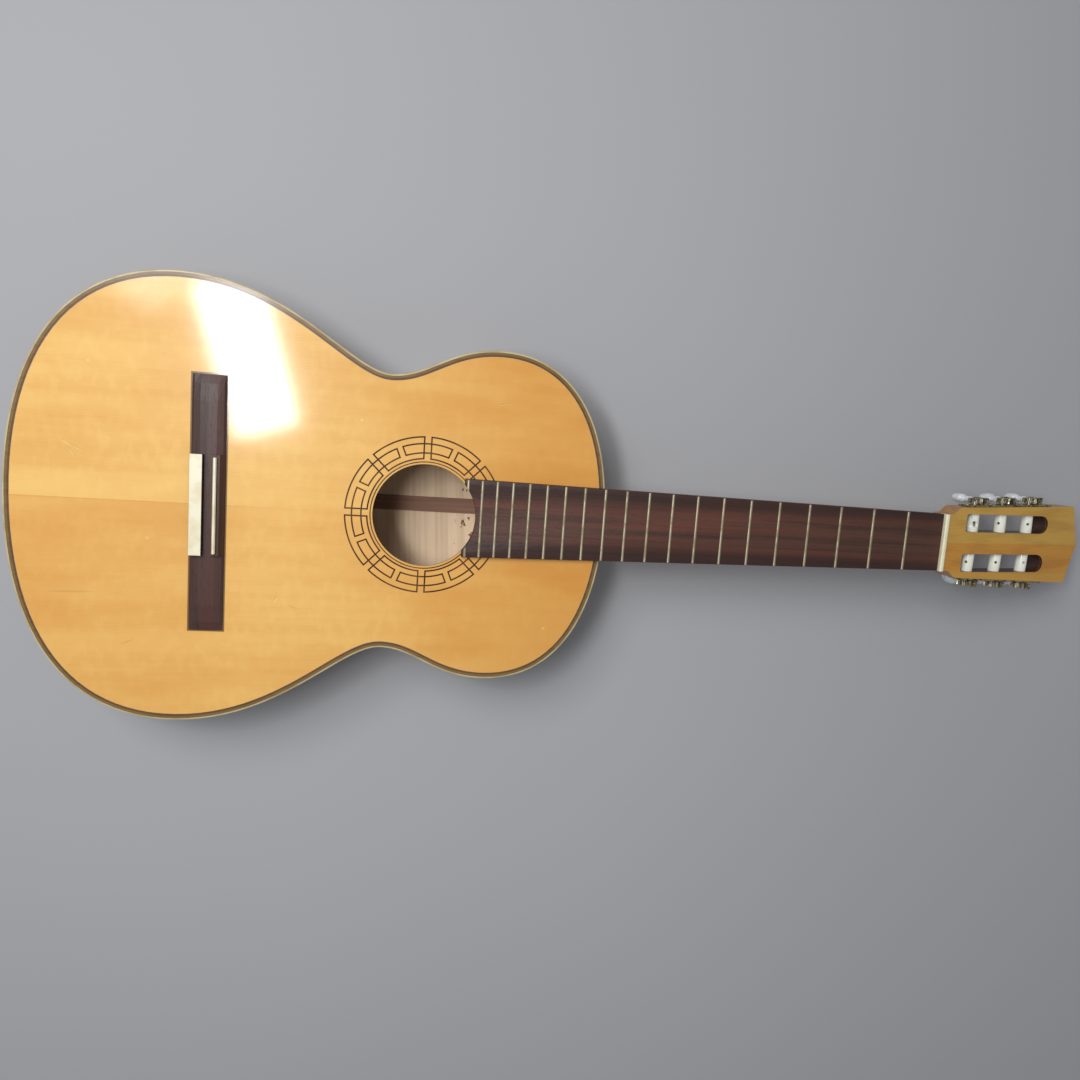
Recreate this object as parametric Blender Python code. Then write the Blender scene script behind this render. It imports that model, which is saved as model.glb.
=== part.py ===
"""Classical guitar, worn and without strings, lying on its back.

Metres, +Z up. +X runs from the tail to the tip of the head and +Y is the bass side.
The luthier's frame has its origin on the soundboard's top face at the string length's
tail end, so x = SCALE_LENGTH is the front of the nut. One empty carries that frame,
and a second one, tilted back behind the nut, carries the head.
"""

import math

import bmesh
import bpy
from mathutils import Matrix, Vector
from mathutils.geometry import interpolate_bezier

# String length and clearances
SCALE_LENGTH = 0.650
CLEAR = 0.0003
FRET_COUNT = 20

# Body outline, one half: points where it turns, and the reach of its curve handles
TAIL_X = -0.1650
LOWER_BOUT_X = -0.0320
LOWER_BOUT_HALF = 0.1853
WAIST_X = 0.1362
WAIST_HALF = 0.1172
UPPER_BOUT_X = 0.2279
UPPER_BOUT_HALF = 0.1432
SHOULDER_X = 0.3270
TAIL_HANDLE = 0.1155
LOWER_BOUT_HANDLE = 0.0860
WAIST_HANDLE_TAIL = 0.0328
WAIST_HANDLE_NECK = 0.0302
UPPER_BOUT_HANDLE_TAIL = 0.0444
UPPER_BOUT_HANDLE_NECK = 0.0621
SHOULDER_HANDLE = 0.0893
SPAN_STEPS = (8, 6, 5, 8)

# Body section
BODY_DEPTH = 0.0960
BACK_RADIUS = 4.750
BACK_FACETS = 5
TOP_THICKNESS = 0.0025
BACK_THICKNESS = 0.0028
RIB_THICKNESS = 0.0020
BINDING_WIDTH = 0.0016
BINDING_HEIGHT = 0.0060
PURFLING_WIDTH = 0.0040
PURFLING_DEPTH = 0.0014
LINING_WIDTH = 0.0060
LINING_HEIGHT = 0.0140
TAIL_BLOCK_HALF = 0.0350
TAIL_BLOCK_LENGTH = 0.0180
GRAFT_HALF = 0.0050
NECK_BLOCK_HALF = 0.0320
NECK_BLOCK_LENGTH = 0.0360
RIB_WEB_HALF = 0.0080

# Soundhole and rosette
HOLE_X = 0.1690
HOLE_RADIUS = 0.0439
ROSETTE_INNER = 0.0450
ROSETTE_OUTER = 0.0679
ROSETTE_DEPTH = 0.0012
HOLE_STEPS = 32

# Bars and struts
BAR_WIDTH = 0.0070
BAR_HEIGHT = 0.0150
LOWER_BAR_X = 0.1060
UPPER_BAR_X = 0.2480
BACK_BAR_XS = (-0.0850, 0.0800, 0.2350)
FAN_COUNT = 5
FAN_SPREAD = 0.0340
FAN_SPLAY = math.radians(5.0)
FAN_LENGTH = 0.2050
FAN_WIDTH = 0.0060
FAN_HEIGHT = 0.0050
FAN_X = -0.0060
STRIP_HALF = 0.0070
STRIP_THICKNESS = 0.0018

# Neck and fingerboard
NUT_WIDTH = 0.0537
JOIN_WIDTH = 0.0637
NUT_THICKNESS = 0.0055
NUT_HEIGHT = 0.0106
BOARD_THICKNESS = 0.0065
FRET_WIDTH = 0.0022
FRET_HEIGHT = 0.0010
BOARD_END_MARGIN = 0.0010
NECK_DEPTH_NUT = 0.0165
NECK_DEPTH_HEEL = 0.0180
HEEL_CAP_HALF = 0.0130
HEEL_CAP_REACH = 0.0200
HEEL_TOP_REACH = 0.0700
HEEL_CAP_THICKNESS = 0.0024
HEEL_LIFT = 0.0004

# Bridge
BRIDGE_TAIL_X = -0.0215
BRIDGE_WIDTH = 0.0269
BRIDGE_HALF = 0.10585
BRIDGE_CENTRE_HALF = 0.0415
WING_HEIGHT = 0.0038
TIE_BLOCK_WIDTH = 0.0102
TIE_BLOCK_HEIGHT = 0.0083
TRENCH_WIDTH = 0.0060
TRENCH_FLOOR = 0.0032
RIDGE_HEIGHT = 0.0078
SADDLE_X = -0.0015
SADDLE_THICKNESS = 0.0026
SADDLE_HEIGHT = 0.0112
SADDLE_SEAT = 0.0040
INLAY_THICKNESS = 0.0009
STRING_SPACING = 0.0115
STRING_HOLE_RADIUS = 0.0009

# Head, measured along its face from the back of the nut
HEAD_TILT = math.radians(11.94)
FACE_RISE = 0.0060
HEAD_THICKNESS = 0.0210
HEADPLATE_THICKNESS = 0.0025
HEAD_NECK_HALF = 0.0270
SHOULDER_START = 0.0060
SHOULDER_END = 0.0170
HEAD_HALF_NUT = 0.03365
HEAD_CORNER = 0.1598
HEAD_HALF_TIP = 0.0384
HEAD_LENGTH = 0.1702
SLOT_START = 0.0218
SLOT_END = 0.1278
SLOT_CENTRE = 0.0192
SLOT_WIDTH = 0.0175
SLOT_CORNER = 0.0025
NUT_SLOT_PITCH = 0.0085

# Tuning machines, in a frame on the head's side: x to the tip, y outwards, z to the face
ROLLER_START = 0.0383
ROLLER_PITCH = 0.0350
ROLLER_DEPTH = 0.0086
ROLLER_RADIUS = 0.0052
ROLLER_SEAT = 0.0060
ROLLER_STEPS = 12
BORE_STEPS = 10
CORE_RADIUS = 0.0030
SPINDLE_RADIUS = 0.0024
PLATE_THICKNESS = 0.0015
PLATE_HALF_HEIGHT = 0.0070
PLATE_NUT_END = -0.0480
PLATE_TIP_END = 0.0575
GEAR_TEETH = 14
GEAR_MODULE = 0.0008
GEAR_THICKNESS = 0.0046
WORM_PITCH_RADIUS = 0.0026
WORM_TURNS = 2.0
WORM_STEPS = 8
TOOTH_DEPTH = 0.0008
TOOTH_CLEAR = 0.0003
TOOTH_ROOT_HALF = 0.00078
TOOTH_TIP_HALF = 0.00027
THREAD_ROOT_HALF = 0.00085
SHAFT_RADIUS = 0.0016
SHAFT_SEAT = 0.0060
LUG_THICKNESS = 0.0020
LUG_HALF = 0.0027
LUG_GAP = 0.0040
BUTTON_DROP = 0.0125
BUTTON_LENGTH = 0.0215
BUTTON_COLLAR = 0.0070
BUTTON_HALF_WIDTH = 0.0075
BUTTON_FLATNESS = 0.62
WORM_PHASES = (40, 20, 130, 168, 12, 170)
STRING_HOLE_ANGLES = (28, 55, 72, 55, 25, 60)

# Values worked out from the driving dimensions
NUT_BACK_X = SCALE_LENGTH + NUT_THICKNESS
HEAD_TIP_X = NUT_BACK_X + HEAD_LENGTH * math.cos(HEAD_TILT)
MIDDLE_X = (TAIL_X + HEAD_TIP_X) / 2
PURFLING_INSET = BINDING_WIDTH + CLEAR
PURFLING_INNER = PURFLING_INSET + PURFLING_WIDTH
LINING_INSET = RIB_THICKNESS + CLEAR
SIDE_ANGLE = math.atan2(HEAD_HALF_TIP - HEAD_HALF_NUT, HEAD_CORNER - SHOULDER_END)
GEAR_PITCH_RADIUS = GEAR_TEETH * GEAR_MODULE / 2
WORM_PITCH = math.pi * GEAR_MODULE
WORM_DISTANCE = GEAR_PITCH_RADIUS + WORM_PITCH_RADIUS
WORM_OUTER = WORM_PITCH_RADIUS + TOOTH_DEPTH
WORM_AXIS_OUT = CLEAR + PLATE_THICKNESS + CLEAR + WORM_OUTER
GEAR_INNER_FACE = WORM_AXIS_OUT - GEAR_THICKNESS / 2
GEAR_OUTER_FACE = WORM_AXIS_OUT + GEAR_THICKNESS / 2

for old_object in list(bpy.data.objects):
    bpy.data.objects.remove(old_object, do_unlink=True)

guitar = bpy.data.collections.new("guitar")
cutters = bpy.data.collections.new("cutters")
bpy.context.scene.collection.children.link(guitar)
bpy.context.scene.collection.children.link(cutters)


# Shared helpers

def material(name, colour, roughness, metallic=0.0):
    """A plain Principled material."""
    made = bpy.data.materials.new(name)
    made.use_nodes = True
    shader = made.node_tree.nodes["Principled BSDF"]
    shader.inputs["Base Color"].default_value = (*colour, 1.0)
    shader.inputs["Roughness"].default_value = roughness
    shader.inputs["Metallic"].default_value = metallic
    return made


def empty(name, parent=None, location=(0, 0, 0), rotation=(0, 0, 0)):
    """A frame that carries other pieces."""
    made = bpy.data.objects.new(name, None)
    made.location = location
    made.rotation_euler = rotation
    made.parent = parent
    guitar.objects.link(made)
    return made


def piece(name, mesh, parent, finish, location=(0, 0, 0), rotation=(0, 0, 0)):
    """A sub-part: its mesh, its frame and its finish."""
    made = bpy.data.objects.new(name, mesh)
    made.location = location
    made.rotation_euler = rotation
    made.parent = parent
    mesh.materials.clear()
    mesh.materials.append(finish)
    guitar.objects.link(made)
    return made


def cutter(name, mesh, parent, location=(0, 0, 0), rotation=(0, 0, 0)):
    """A shape that only trims or joins other pieces."""
    made = bpy.data.objects.new(name, mesh)
    made.location = location
    made.rotation_euler = rotation
    made.parent = parent
    made.hide_render = True
    made.display_type = "WIRE"
    cutters.objects.link(made)
    return made


def combine(target, tool, operation):
    """Adds a Boolean modifier: DIFFERENCE, INTERSECT or UNION."""
    modifier = target.modifiers.new(tool.name, "BOOLEAN")
    modifier.operation = operation
    modifier.object = tool


def smooth(target, degrees=35):
    """Shades a round piece smooth and keeps its edges."""
    target.data.shade_smooth()
    target.data.set_sharp_from_angle(angle=math.radians(degrees))


def prism(name, loops, low, high):
    """Mesh of a flat outline, with any holes in it, from z = low to z = high."""
    curve = bpy.data.curves.new(name, "CURVE")
    curve.dimensions = "2D"
    curve.fill_mode = "BOTH"
    curve.extrude = (high - low) / 2
    for loop in loops:
        spline = curve.splines.new("POLY")
        spline.points.add(len(loop) - 1)
        for point, (x, y) in zip(spline.points, loop):
            point.co = (x, y, 0, 1)
        spline.use_cyclic_u = True
    flat = bpy.data.objects.new(name, curve)
    bpy.context.scene.collection.objects.link(flat)
    depsgraph = bpy.context.evaluated_depsgraph_get()
    mesh = bpy.data.meshes.new_from_object(flat.evaluated_get(depsgraph))
    bpy.data.objects.remove(flat)
    bpy.data.curves.remove(curve)
    shape = bmesh.new()
    shape.from_mesh(mesh)
    bmesh.ops.remove_doubles(shape, verts=shape.verts, dist=1e-6)
    bmesh.ops.translate(shape, verts=shape.verts, vec=(0, 0, (low + high) / 2))
    bmesh.ops.recalc_face_normals(shape, faces=shape.faces)
    shape.to_mesh(mesh)
    shape.free()
    return mesh


def along_x(mesh):
    """Turns a prism whose outline was given as (y, z) so that it runs along x."""
    mesh.transform(Matrix(((0, 0, 1, 0), (1, 0, 0, 0), (0, 1, 0, 0), (0, 0, 0, 1))))
    return mesh


def along_y(mesh):
    """Turns a prism whose outline was given as (x, z) so that it runs along -y."""
    mesh.transform(Matrix.Rotation(math.pi / 2, 4, "X"))
    return mesh


def box(name, low, high):
    """Mesh of a box between two corners."""
    shape = bmesh.new()
    size = Vector(high) - Vector(low)
    centre = (Vector(high) + Vector(low)) / 2
    bmesh.ops.create_cube(shape, size=1, matrix=Matrix.Translation(centre) @ Matrix.Diagonal((*size, 1)))
    mesh = bpy.data.meshes.new(name)
    shape.to_mesh(mesh)
    shape.free()
    return mesh


def rod(name, radius, low, high, steps, axis="Z"):
    """Mesh of a cylinder on one axis, between two places on it."""
    shape = bmesh.new()
    turn = {"Z": Matrix(), "Y": Matrix.Rotation(-math.pi / 2, 4, "X"), "X": Matrix.Rotation(math.pi / 2, 4, "Y")}
    place = turn[axis] @ Matrix.Translation((0, 0, (low + high) / 2))
    bmesh.ops.create_cone(shape, cap_ends=True, segments=steps, radius1=radius, radius2=radius,
                          depth=high - low, matrix=place)
    mesh = bpy.data.meshes.new(name)
    shape.to_mesh(mesh)
    shape.free()
    return mesh


def bore_radius(radius, steps):
    """The corner radius of a many-sided bore whose flats clear a shaft of this radius."""
    return (radius + CLEAR) / math.cos(math.pi / steps) if steps > 4 else radius + CLEAR * math.sqrt(2)


def loft(name, sections):
    """Mesh through a row of closed sections with as many points each, capped at both ends."""
    shape = bmesh.new()
    rings = [[shape.verts.new(point) for point in section] for section in sections]
    count = len(rings[0])
    for ring, following in zip(rings, rings[1:]):
        for i in range(count):
            j = (i + 1) % count
            shape.faces.new((ring[i], ring[j], following[j], following[i]))
    shape.faces.new(rings[0])
    shape.faces.new(rings[-1])
    bmesh.ops.recalc_face_normals(shape, faces=shape.faces)
    mesh = bpy.data.meshes.new(name)
    shape.to_mesh(mesh)
    shape.free()
    return mesh


def mirrored(mesh):
    """A copy for the treble side, with its faces still pointing out."""
    copy = mesh.copy()
    copy.transform(Matrix.Diagonal((1, -1, 1, 1)))
    copy.flip_normals()
    return copy


def joined(name, meshes):
    """One mesh that holds several shapes that stand apart."""
    shape = bmesh.new()
    for part in meshes:
        shape.from_mesh(part)
    mesh = bpy.data.meshes.new(name)
    shape.to_mesh(mesh)
    shape.free()
    return mesh


def mix(start, end, share):
    """The value a share of the way from start to end."""
    return start + (end - start) * share


# Frames

guitar_frame = empty("guitar_frame", location=(-MIDDLE_X, 0, BODY_DEPTH))
head_frame = empty("head_frame", guitar_frame, (NUT_BACK_X, 0, FACE_RISE), (0, HEAD_TILT, 0))


# Body outline

def half_outline():
    """The bass half from the tail's middle to the shoulder's middle, as 2-D vectors."""
    knots = (
        ((TAIL_X, 0), (0, 0), (0, TAIL_HANDLE)),
        ((LOWER_BOUT_X, LOWER_BOUT_HALF), (-LOWER_BOUT_HANDLE, 0), (LOWER_BOUT_HANDLE, 0)),
        ((WAIST_X, WAIST_HALF), (-WAIST_HANDLE_TAIL, 0), (WAIST_HANDLE_NECK, 0)),
        ((UPPER_BOUT_X, UPPER_BOUT_HALF), (-UPPER_BOUT_HANDLE_TAIL, 0), (UPPER_BOUT_HANDLE_NECK, 0)),
        ((SHOULDER_X, 0), (0, SHOULDER_HANDLE), (0, 0)),
    )
    points = [Vector(knots[0][0])]
    for start, end, steps in zip(knots, knots[1:], SPAN_STEPS):
        first = Vector(start[0])
        last = Vector(end[0])
        span = interpolate_bezier(first, first + Vector(start[2]), last + Vector(end[1]), last, steps + 1)
        points.extend(point.to_2d() for point in span[1:])
    return points


HALF_OUTLINE = half_outline()


def inset_half(inset):
    """The bass half of the outline, moved inwards."""
    points = []
    last = len(HALF_OUTLINE) - 1
    for i, point in enumerate(HALF_OUTLINE):
        before = HALF_OUTLINE[i - 1] if i > 0 else Vector((HALF_OUTLINE[1].x, -HALF_OUTLINE[1].y))
        after = HALF_OUTLINE[i + 1] if i < last else Vector((HALF_OUTLINE[i - 1].x, -HALF_OUTLINE[i - 1].y))
        along = (after - before).normalized()
        points.append(point + Vector((along.y, -along.x)) * inset)
    return points


def cut_at(inner, outer, height):
    """The point between two points of the outline whose y is the given height."""
    share = (height - inner.y) / (outer.y - inner.y)
    return inner.lerp(outer, share)


def half_run(inset, tail_gap=0.0, shoulder_gap=0.0):
    """The bass half without what lies nearer the middle than the gaps at its ends."""
    points = inset_half(inset)
    if tail_gap > 0:
        start = next(i for i, point in enumerate(points) if point.y > tail_gap)
        points = [cut_at(points[start - 1], points[start], tail_gap)] + points[start:]
    if shoulder_gap > 0:
        end = max(i for i, point in enumerate(points) if point.y > shoulder_gap)
        points = points[:end + 1] + [cut_at(points[end + 1], points[end], shoulder_gap)]
    return points


def flipped(points):
    """The same points on the treble side, in the same order."""
    return [Vector((point.x, -point.y)) for point in points]


def full_outline(inset):
    """The closed outline, moved inwards."""
    points = inset_half(inset)
    return points + flipped(points)[-2:0:-1]


def half_band(outer_inset, inner_inset, side, tail_gap, shoulder_gap):
    """A strip along one half of the outline, between two insets."""
    outer = half_run(outer_inset, tail_gap, shoulder_gap)
    inner = half_run(inner_inset, tail_gap, shoulder_gap)
    loop = outer + inner[::-1]
    return loop if side > 0 else flipped(loop)


def open_band(outer_inset, inner_inset, shoulder_gap):
    """A strip round the whole outline with a gap where the neck comes in."""
    outer = half_run(outer_inset, shoulder_gap=shoulder_gap)
    inner = half_run(inner_inset, shoulder_gap=shoulder_gap)
    outer_loop = flipped(outer)[::-1] + outer[1:]
    inner_loop = flipped(inner)[::-1] + inner[1:]
    return outer_loop + inner_loop[::-1]


def half_width_at(x, inset):
    """Half the body's width at a place along it, inside an inset."""
    points = inset_half(inset)
    for first, second in zip(points, points[1:]):
        if first.x <= x <= second.x:
            return mix(first.y, second.y, (x - first.x) / (second.x - first.x))
    return 0.0


def back_line():
    """The back's crosswise arch as (y, rise) points, flat across the middle facet."""
    reach = LOWER_BOUT_HALF + 0.010
    places = [mix(-reach, reach, i / BACK_FACETS) for i in range(BACK_FACETS + 1)]
    flat = places[BACK_FACETS // 2 + 1]
    return [(y, (y * y - flat * flat) / (2 * BACK_RADIUS)) for y in places]


def arch_slab(name, low, high):
    """A cutter between two heights over the back's outer face, following its arch."""
    line = back_line()
    loop = [(y, rise - BODY_DEPTH + low) for y, rise in line]
    loop += [(y, rise - BODY_DEPTH + high) for y, rise in reversed(line)]
    return cutter(name, along_x(prism(name, [loop], TAIL_X - 0.020, SHOULDER_X + 0.060)), guitar_frame)


INSIDE_FLOOR = -BODY_DEPTH + BACK_THICKNESS
BELOW_EVERYTHING = -0.030

spruce = material("spruce", (0.72, 0.42, 0.14), 0.30)
back_wood = material("back_wood", (0.30, 0.15, 0.08), 0.35)
rib_wood = material("rib_wood", (0.24, 0.12, 0.07), 0.35)
pale_lining = material("pale_lining", (0.62, 0.45, 0.27), 0.70)
ivory = material("ivory", (0.80, 0.74, 0.58), 0.35)
dark_line = material("dark_line", (0.10, 0.06, 0.03), 0.40)
cedar = material("cedar", (0.26, 0.11, 0.06), 0.45)
rosewood = material("rosewood", (0.09, 0.045, 0.04), 0.42)
headplate_wood = material("headplate_wood", (0.48, 0.27, 0.09), 0.35)
brass = material("aged_brass", (0.34, 0.28, 0.16), 0.38, 1.0)
pearl = material("pearl", (0.78, 0.80, 0.80), 0.25)
rosette_wood = material("rosette_wood", (0.45, 0.25, 0.10), 0.35)


# Soundboard with its hole, the recess for the rosette and the ledge for the purfling

def circle(radius, x=0.0, steps=HOLE_STEPS):
    """Points round a circle whose middle lies on the centre line."""
    turns = [2 * math.pi * (i + 0.5) / steps for i in range(steps)]
    return [(x + radius * math.cos(turn), radius * math.sin(turn)) for turn in turns]


def make_soundboard():
    loops = [full_outline(PURFLING_INSET), circle(HOLE_RADIUS, HOLE_X)]
    soundboard = piece("soundboard", prism("soundboard", loops, -TOP_THICKNESS, 0), guitar_frame, spruce)
    ledge_loops = [full_outline(-CLEAR), full_outline(PURFLING_INNER + CLEAR)]
    ledge_mesh = prism("purfling_ledge", ledge_loops, -PURFLING_DEPTH - CLEAR, 0.002)
    recess_loops = [circle(ROSETTE_OUTER + CLEAR, HOLE_X), circle(ROSETTE_INNER - CLEAR, HOLE_X)]
    recess_mesh = prism("rosette_recess", recess_loops, -ROSETTE_DEPTH - CLEAR, 0.002)
    inlays = joined("inlay_channels", [ledge_mesh, recess_mesh])
    combine(soundboard, cutter("inlay_channels", inlays, guitar_frame), "DIFFERENCE")


def make_rosette():
    loops = [circle(ROSETTE_OUTER, HOLE_X), circle(ROSETTE_INNER, HOLE_X)]
    smooth(piece("rosette", prism("rosette", loops, -ROSETTE_DEPTH, 0), guitar_frame, rosette_wood))


def make_purfling():
    loops = [full_outline(PURFLING_INSET), full_outline(PURFLING_INNER)]
    piece("top_purfling", prism("top_purfling", loops, -PURFLING_DEPTH, 0), guitar_frame, dark_line)


make_soundboard()
make_rosette()
make_purfling()


# Back, ribs, bindings and linings

def make_back():
    back = piece("back", prism("back", [full_outline(PURFLING_INSET)], -BODY_DEPTH - 0.005, BELOW_EVERYTHING),
                 guitar_frame, back_wood)
    combine(back, arch_slab("back_plate_form", 0, BACK_THICKNESS), "INTERSECT")
    low = INSIDE_FLOOR + CLEAR
    start = TAIL_X + LINING_INSET + TAIL_BLOCK_LENGTH + CLEAR
    end = SHOULDER_X - NECK_BLOCK_LENGTH - CLEAR
    strip = box("back_strip", (start, -STRIP_HALF, low), (end, STRIP_HALF, low + STRIP_THICKNESS))
    piece("back_strip", strip, guitar_frame, rosewood)


def make_bindings():
    gap = board_half(SHOULDER_X) + CLEAR
    loop = open_band(0, BINDING_WIDTH, gap)
    piece("top_binding", prism("top_binding", [loop], -BINDING_HEIGHT, 0), guitar_frame, ivory)
    loops = [full_outline(0), full_outline(BINDING_WIDTH)]
    binding = piece("back_binding", prism("back_binding", loops, -BODY_DEPTH - 0.005, BELOW_EVERYTHING),
                    guitar_frame, ivory)
    combine(binding, arch_slab("back_binding_form", 0, BINDING_HEIGHT), "INTERSECT")


def make_ribs():
    above_binding = arch_slab("rib_form", BINDING_HEIGHT + CLEAR, BODY_DEPTH)
    top = -BINDING_HEIGHT - CLEAR
    for name, side in (("bass", 1), ("treble", -1)):
        loop = half_band(0, RIB_THICKNESS, side, GRAFT_HALF + CLEAR, RIB_WEB_HALF)
        rib = piece("rib_" + name, prism("rib_" + name, [loop], -BODY_DEPTH, top), guitar_frame, rib_wood)
        combine(rib, above_binding, "INTERSECT")
    graft = box("end_graft", (TAIL_X + 0.0001, -GRAFT_HALF, -BODY_DEPTH + BINDING_HEIGHT + CLEAR),
                (TAIL_X + RIB_THICKNESS, GRAFT_HALF, top))
    piece("end_graft", graft, guitar_frame, ivory)


def make_linings():
    inner = LINING_INSET + LINING_WIDTH
    low = BACK_THICKNESS + CLEAR
    back_form = arch_slab("lining_form", low, low + LINING_HEIGHT)
    for name, side in (("bass", 1), ("treble", -1)):
        loop = half_band(LINING_INSET, inner, side, TAIL_BLOCK_HALF + CLEAR, NECK_BLOCK_HALF + CLEAR)
        top_mesh = prism("top_lining", [loop], -TOP_THICKNESS - LINING_HEIGHT, -TOP_THICKNESS)
        piece("top_lining_" + name, top_mesh, guitar_frame, pale_lining)
        back_mesh = prism("back_lining", [loop], -BODY_DEPTH, BELOW_EVERYTHING)
        lining = piece("back_lining_" + name, back_mesh, guitar_frame, pale_lining)
        combine(lining, back_form, "INTERSECT")


def make_tail_block():
    curved = inset_half(LINING_INSET)
    end = next(i for i, point in enumerate(curved) if point.y > TAIL_BLOCK_HALF)
    curved = curved[:end] + [cut_at(curved[end - 1], curved[end], TAIL_BLOCK_HALF)]
    inner_x = TAIL_X + LINING_INSET + TAIL_BLOCK_LENGTH
    loop = flipped(curved)[::-1] + curved[1:]
    loop += [Vector((inner_x, TAIL_BLOCK_HALF)), Vector((inner_x, -TAIL_BLOCK_HALF))]
    block = piece("tail_block", prism("tail_block", [loop], -BODY_DEPTH, -TOP_THICKNESS), guitar_frame, cedar)
    combine(block, arch_slab("tail_block_form", BACK_THICKNESS + CLEAR, 2 * BODY_DEPTH), "INTERSECT")


def board_half(x):
    """Half the fingerboard's width at a place along it."""
    join_x = SCALE_LENGTH / 2
    return mix(NUT_WIDTH, JOIN_WIDTH, (SCALE_LENGTH - x) / (SCALE_LENGTH - join_x)) / 2


make_back()
make_bindings()
make_ribs()
make_linings()
make_tail_block()


# Bars and struts: two across the soundboard, a fan behind the bridge, three across the back

def make_top_bars():
    low = -TOP_THICKNESS - BAR_HEIGHT
    for name, x in (("harmonic_bar_lower", LOWER_BAR_X), ("harmonic_bar_upper", UPPER_BAR_X)):
        reach = min(half_width_at(x + end * BAR_WIDTH / 2, LINING_INSET + LINING_WIDTH) for end in (-1, 1))
        reach -= CLEAR
        scoop = reach - 0.030
        loop = [(-reach, -TOP_THICKNESS), (-reach, -TOP_THICKNESS - 0.004), (-scoop, low), (scoop, low),
                (reach, -TOP_THICKNESS - 0.004), (reach, -TOP_THICKNESS)]
        mesh = along_x(prism(name, [loop], x - BAR_WIDTH / 2, x + BAR_WIDTH / 2))
        piece(name, mesh, guitar_frame, pale_lining)


def make_fan():
    for i in range(FAN_COUNT):
        place = i - (FAN_COUNT - 1) / 2
        half = FAN_LENGTH / 2
        loop = [(-half, 0), (-half, -0.001), (-half + 0.020, -FAN_HEIGHT), (half - 0.020, -FAN_HEIGHT),
                (half, -0.001), (half, 0)]
        mesh = along_y(prism("fan_strut", [loop], -FAN_WIDTH / 2, FAN_WIDTH / 2))
        location = (FAN_X, place * FAN_SPREAD, -TOP_THICKNESS)
        piece("fan_strut_" + str(i + 1), mesh, guitar_frame, pale_lining, location, (0, 0, -place * FAN_SPLAY))


def make_back_bars():
    low = BACK_THICKNESS + CLEAR
    form = arch_slab("back_bar_form", low, low + BAR_HEIGHT)
    notch_low = (TAIL_X, -STRIP_HALF - CLEAR, -BODY_DEPTH)
    notch_high = (SHOULDER_X, STRIP_HALF + CLEAR, INSIDE_FLOOR + STRIP_THICKNESS + 2 * CLEAR)
    notch = cutter("strip_notch", box("strip_notch", notch_low, notch_high), guitar_frame)
    for i, x in enumerate(BACK_BAR_XS):
        reach = min(half_width_at(x + end * BAR_WIDTH / 2, LINING_INSET + LINING_WIDTH) for end in (-1, 1))
        reach -= CLEAR
        mesh = box("back_bar", (x - BAR_WIDTH / 2, -reach, -BODY_DEPTH), (x + BAR_WIDTH / 2, reach, -0.060))
        bar = piece("back_bar_" + str(i + 1), mesh, guitar_frame, pale_lining)
        combine(bar, form, "INTERSECT")
        combine(bar, notch, "DIFFERENCE")


make_top_bars()
make_fan()
make_back_bars()


# Neck: shaft, heel and the block inside the body, from one blank, with slots for the ribs

def neck_section(x):
    """The shaft's rounded section under the fingerboard."""
    share = (x - SHOULDER_X) / (NUT_BACK_X - SHOULDER_X)
    depth = mix(NECK_DEPTH_HEEL, NECK_DEPTH_NUT, share)
    half = board_half(x)
    points = [(x, half, -CLEAR)]
    for i in range(11):
        turn = math.pi * i / 10
        across = math.copysign(abs(math.cos(turn)) ** 0.8, math.cos(turn))
        points.append((x, half * across, -0.002 - (depth - 0.002) * math.sin(turn) ** 0.85))
    points.append((x, -half, -CLEAR))
    return points


def heel_section(share):
    """The heel's level outline, from its cap (0) to the underside of the shaft (1)."""
    low = -BODY_DEPTH + HEEL_LIFT + HEEL_CAP_THICKNESS
    high = -NECK_DEPTH_HEEL / 2
    half = mix(HEEL_CAP_HALF, board_half(SHOULDER_X) - 0.001, share ** 1.3)
    reach = mix(HEEL_CAP_REACH, HEEL_TOP_REACH, share ** 5)
    back_x = SHOULDER_X - RIB_THICKNESS - 0.003
    front_x = SHOULDER_X + CLEAR
    level = mix(low, high, share)
    points = [(back_x, half, level)]
    for i in range(9):
        turn = math.pi * i / 8 - math.pi / 2
        points.append((front_x + reach * math.cos(turn), -half * math.sin(turn), level))
    points.append((back_x, -half, level))
    return points


def scarf_box(name, low, high, start):
    """A box in the head's frame, between two depths under the face."""
    mesh = box(name, (start, -0.060, -high), (0.030, 0.060, -low))
    return cutter(name, mesh, head_frame)


def neck_shaft(name):
    """The shaft's blank, from inside the body to just behind the nut."""
    return loft(name, [neck_section(SHOULDER_X - 0.020), neck_section(NUT_BACK_X + 0.010)])


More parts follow.
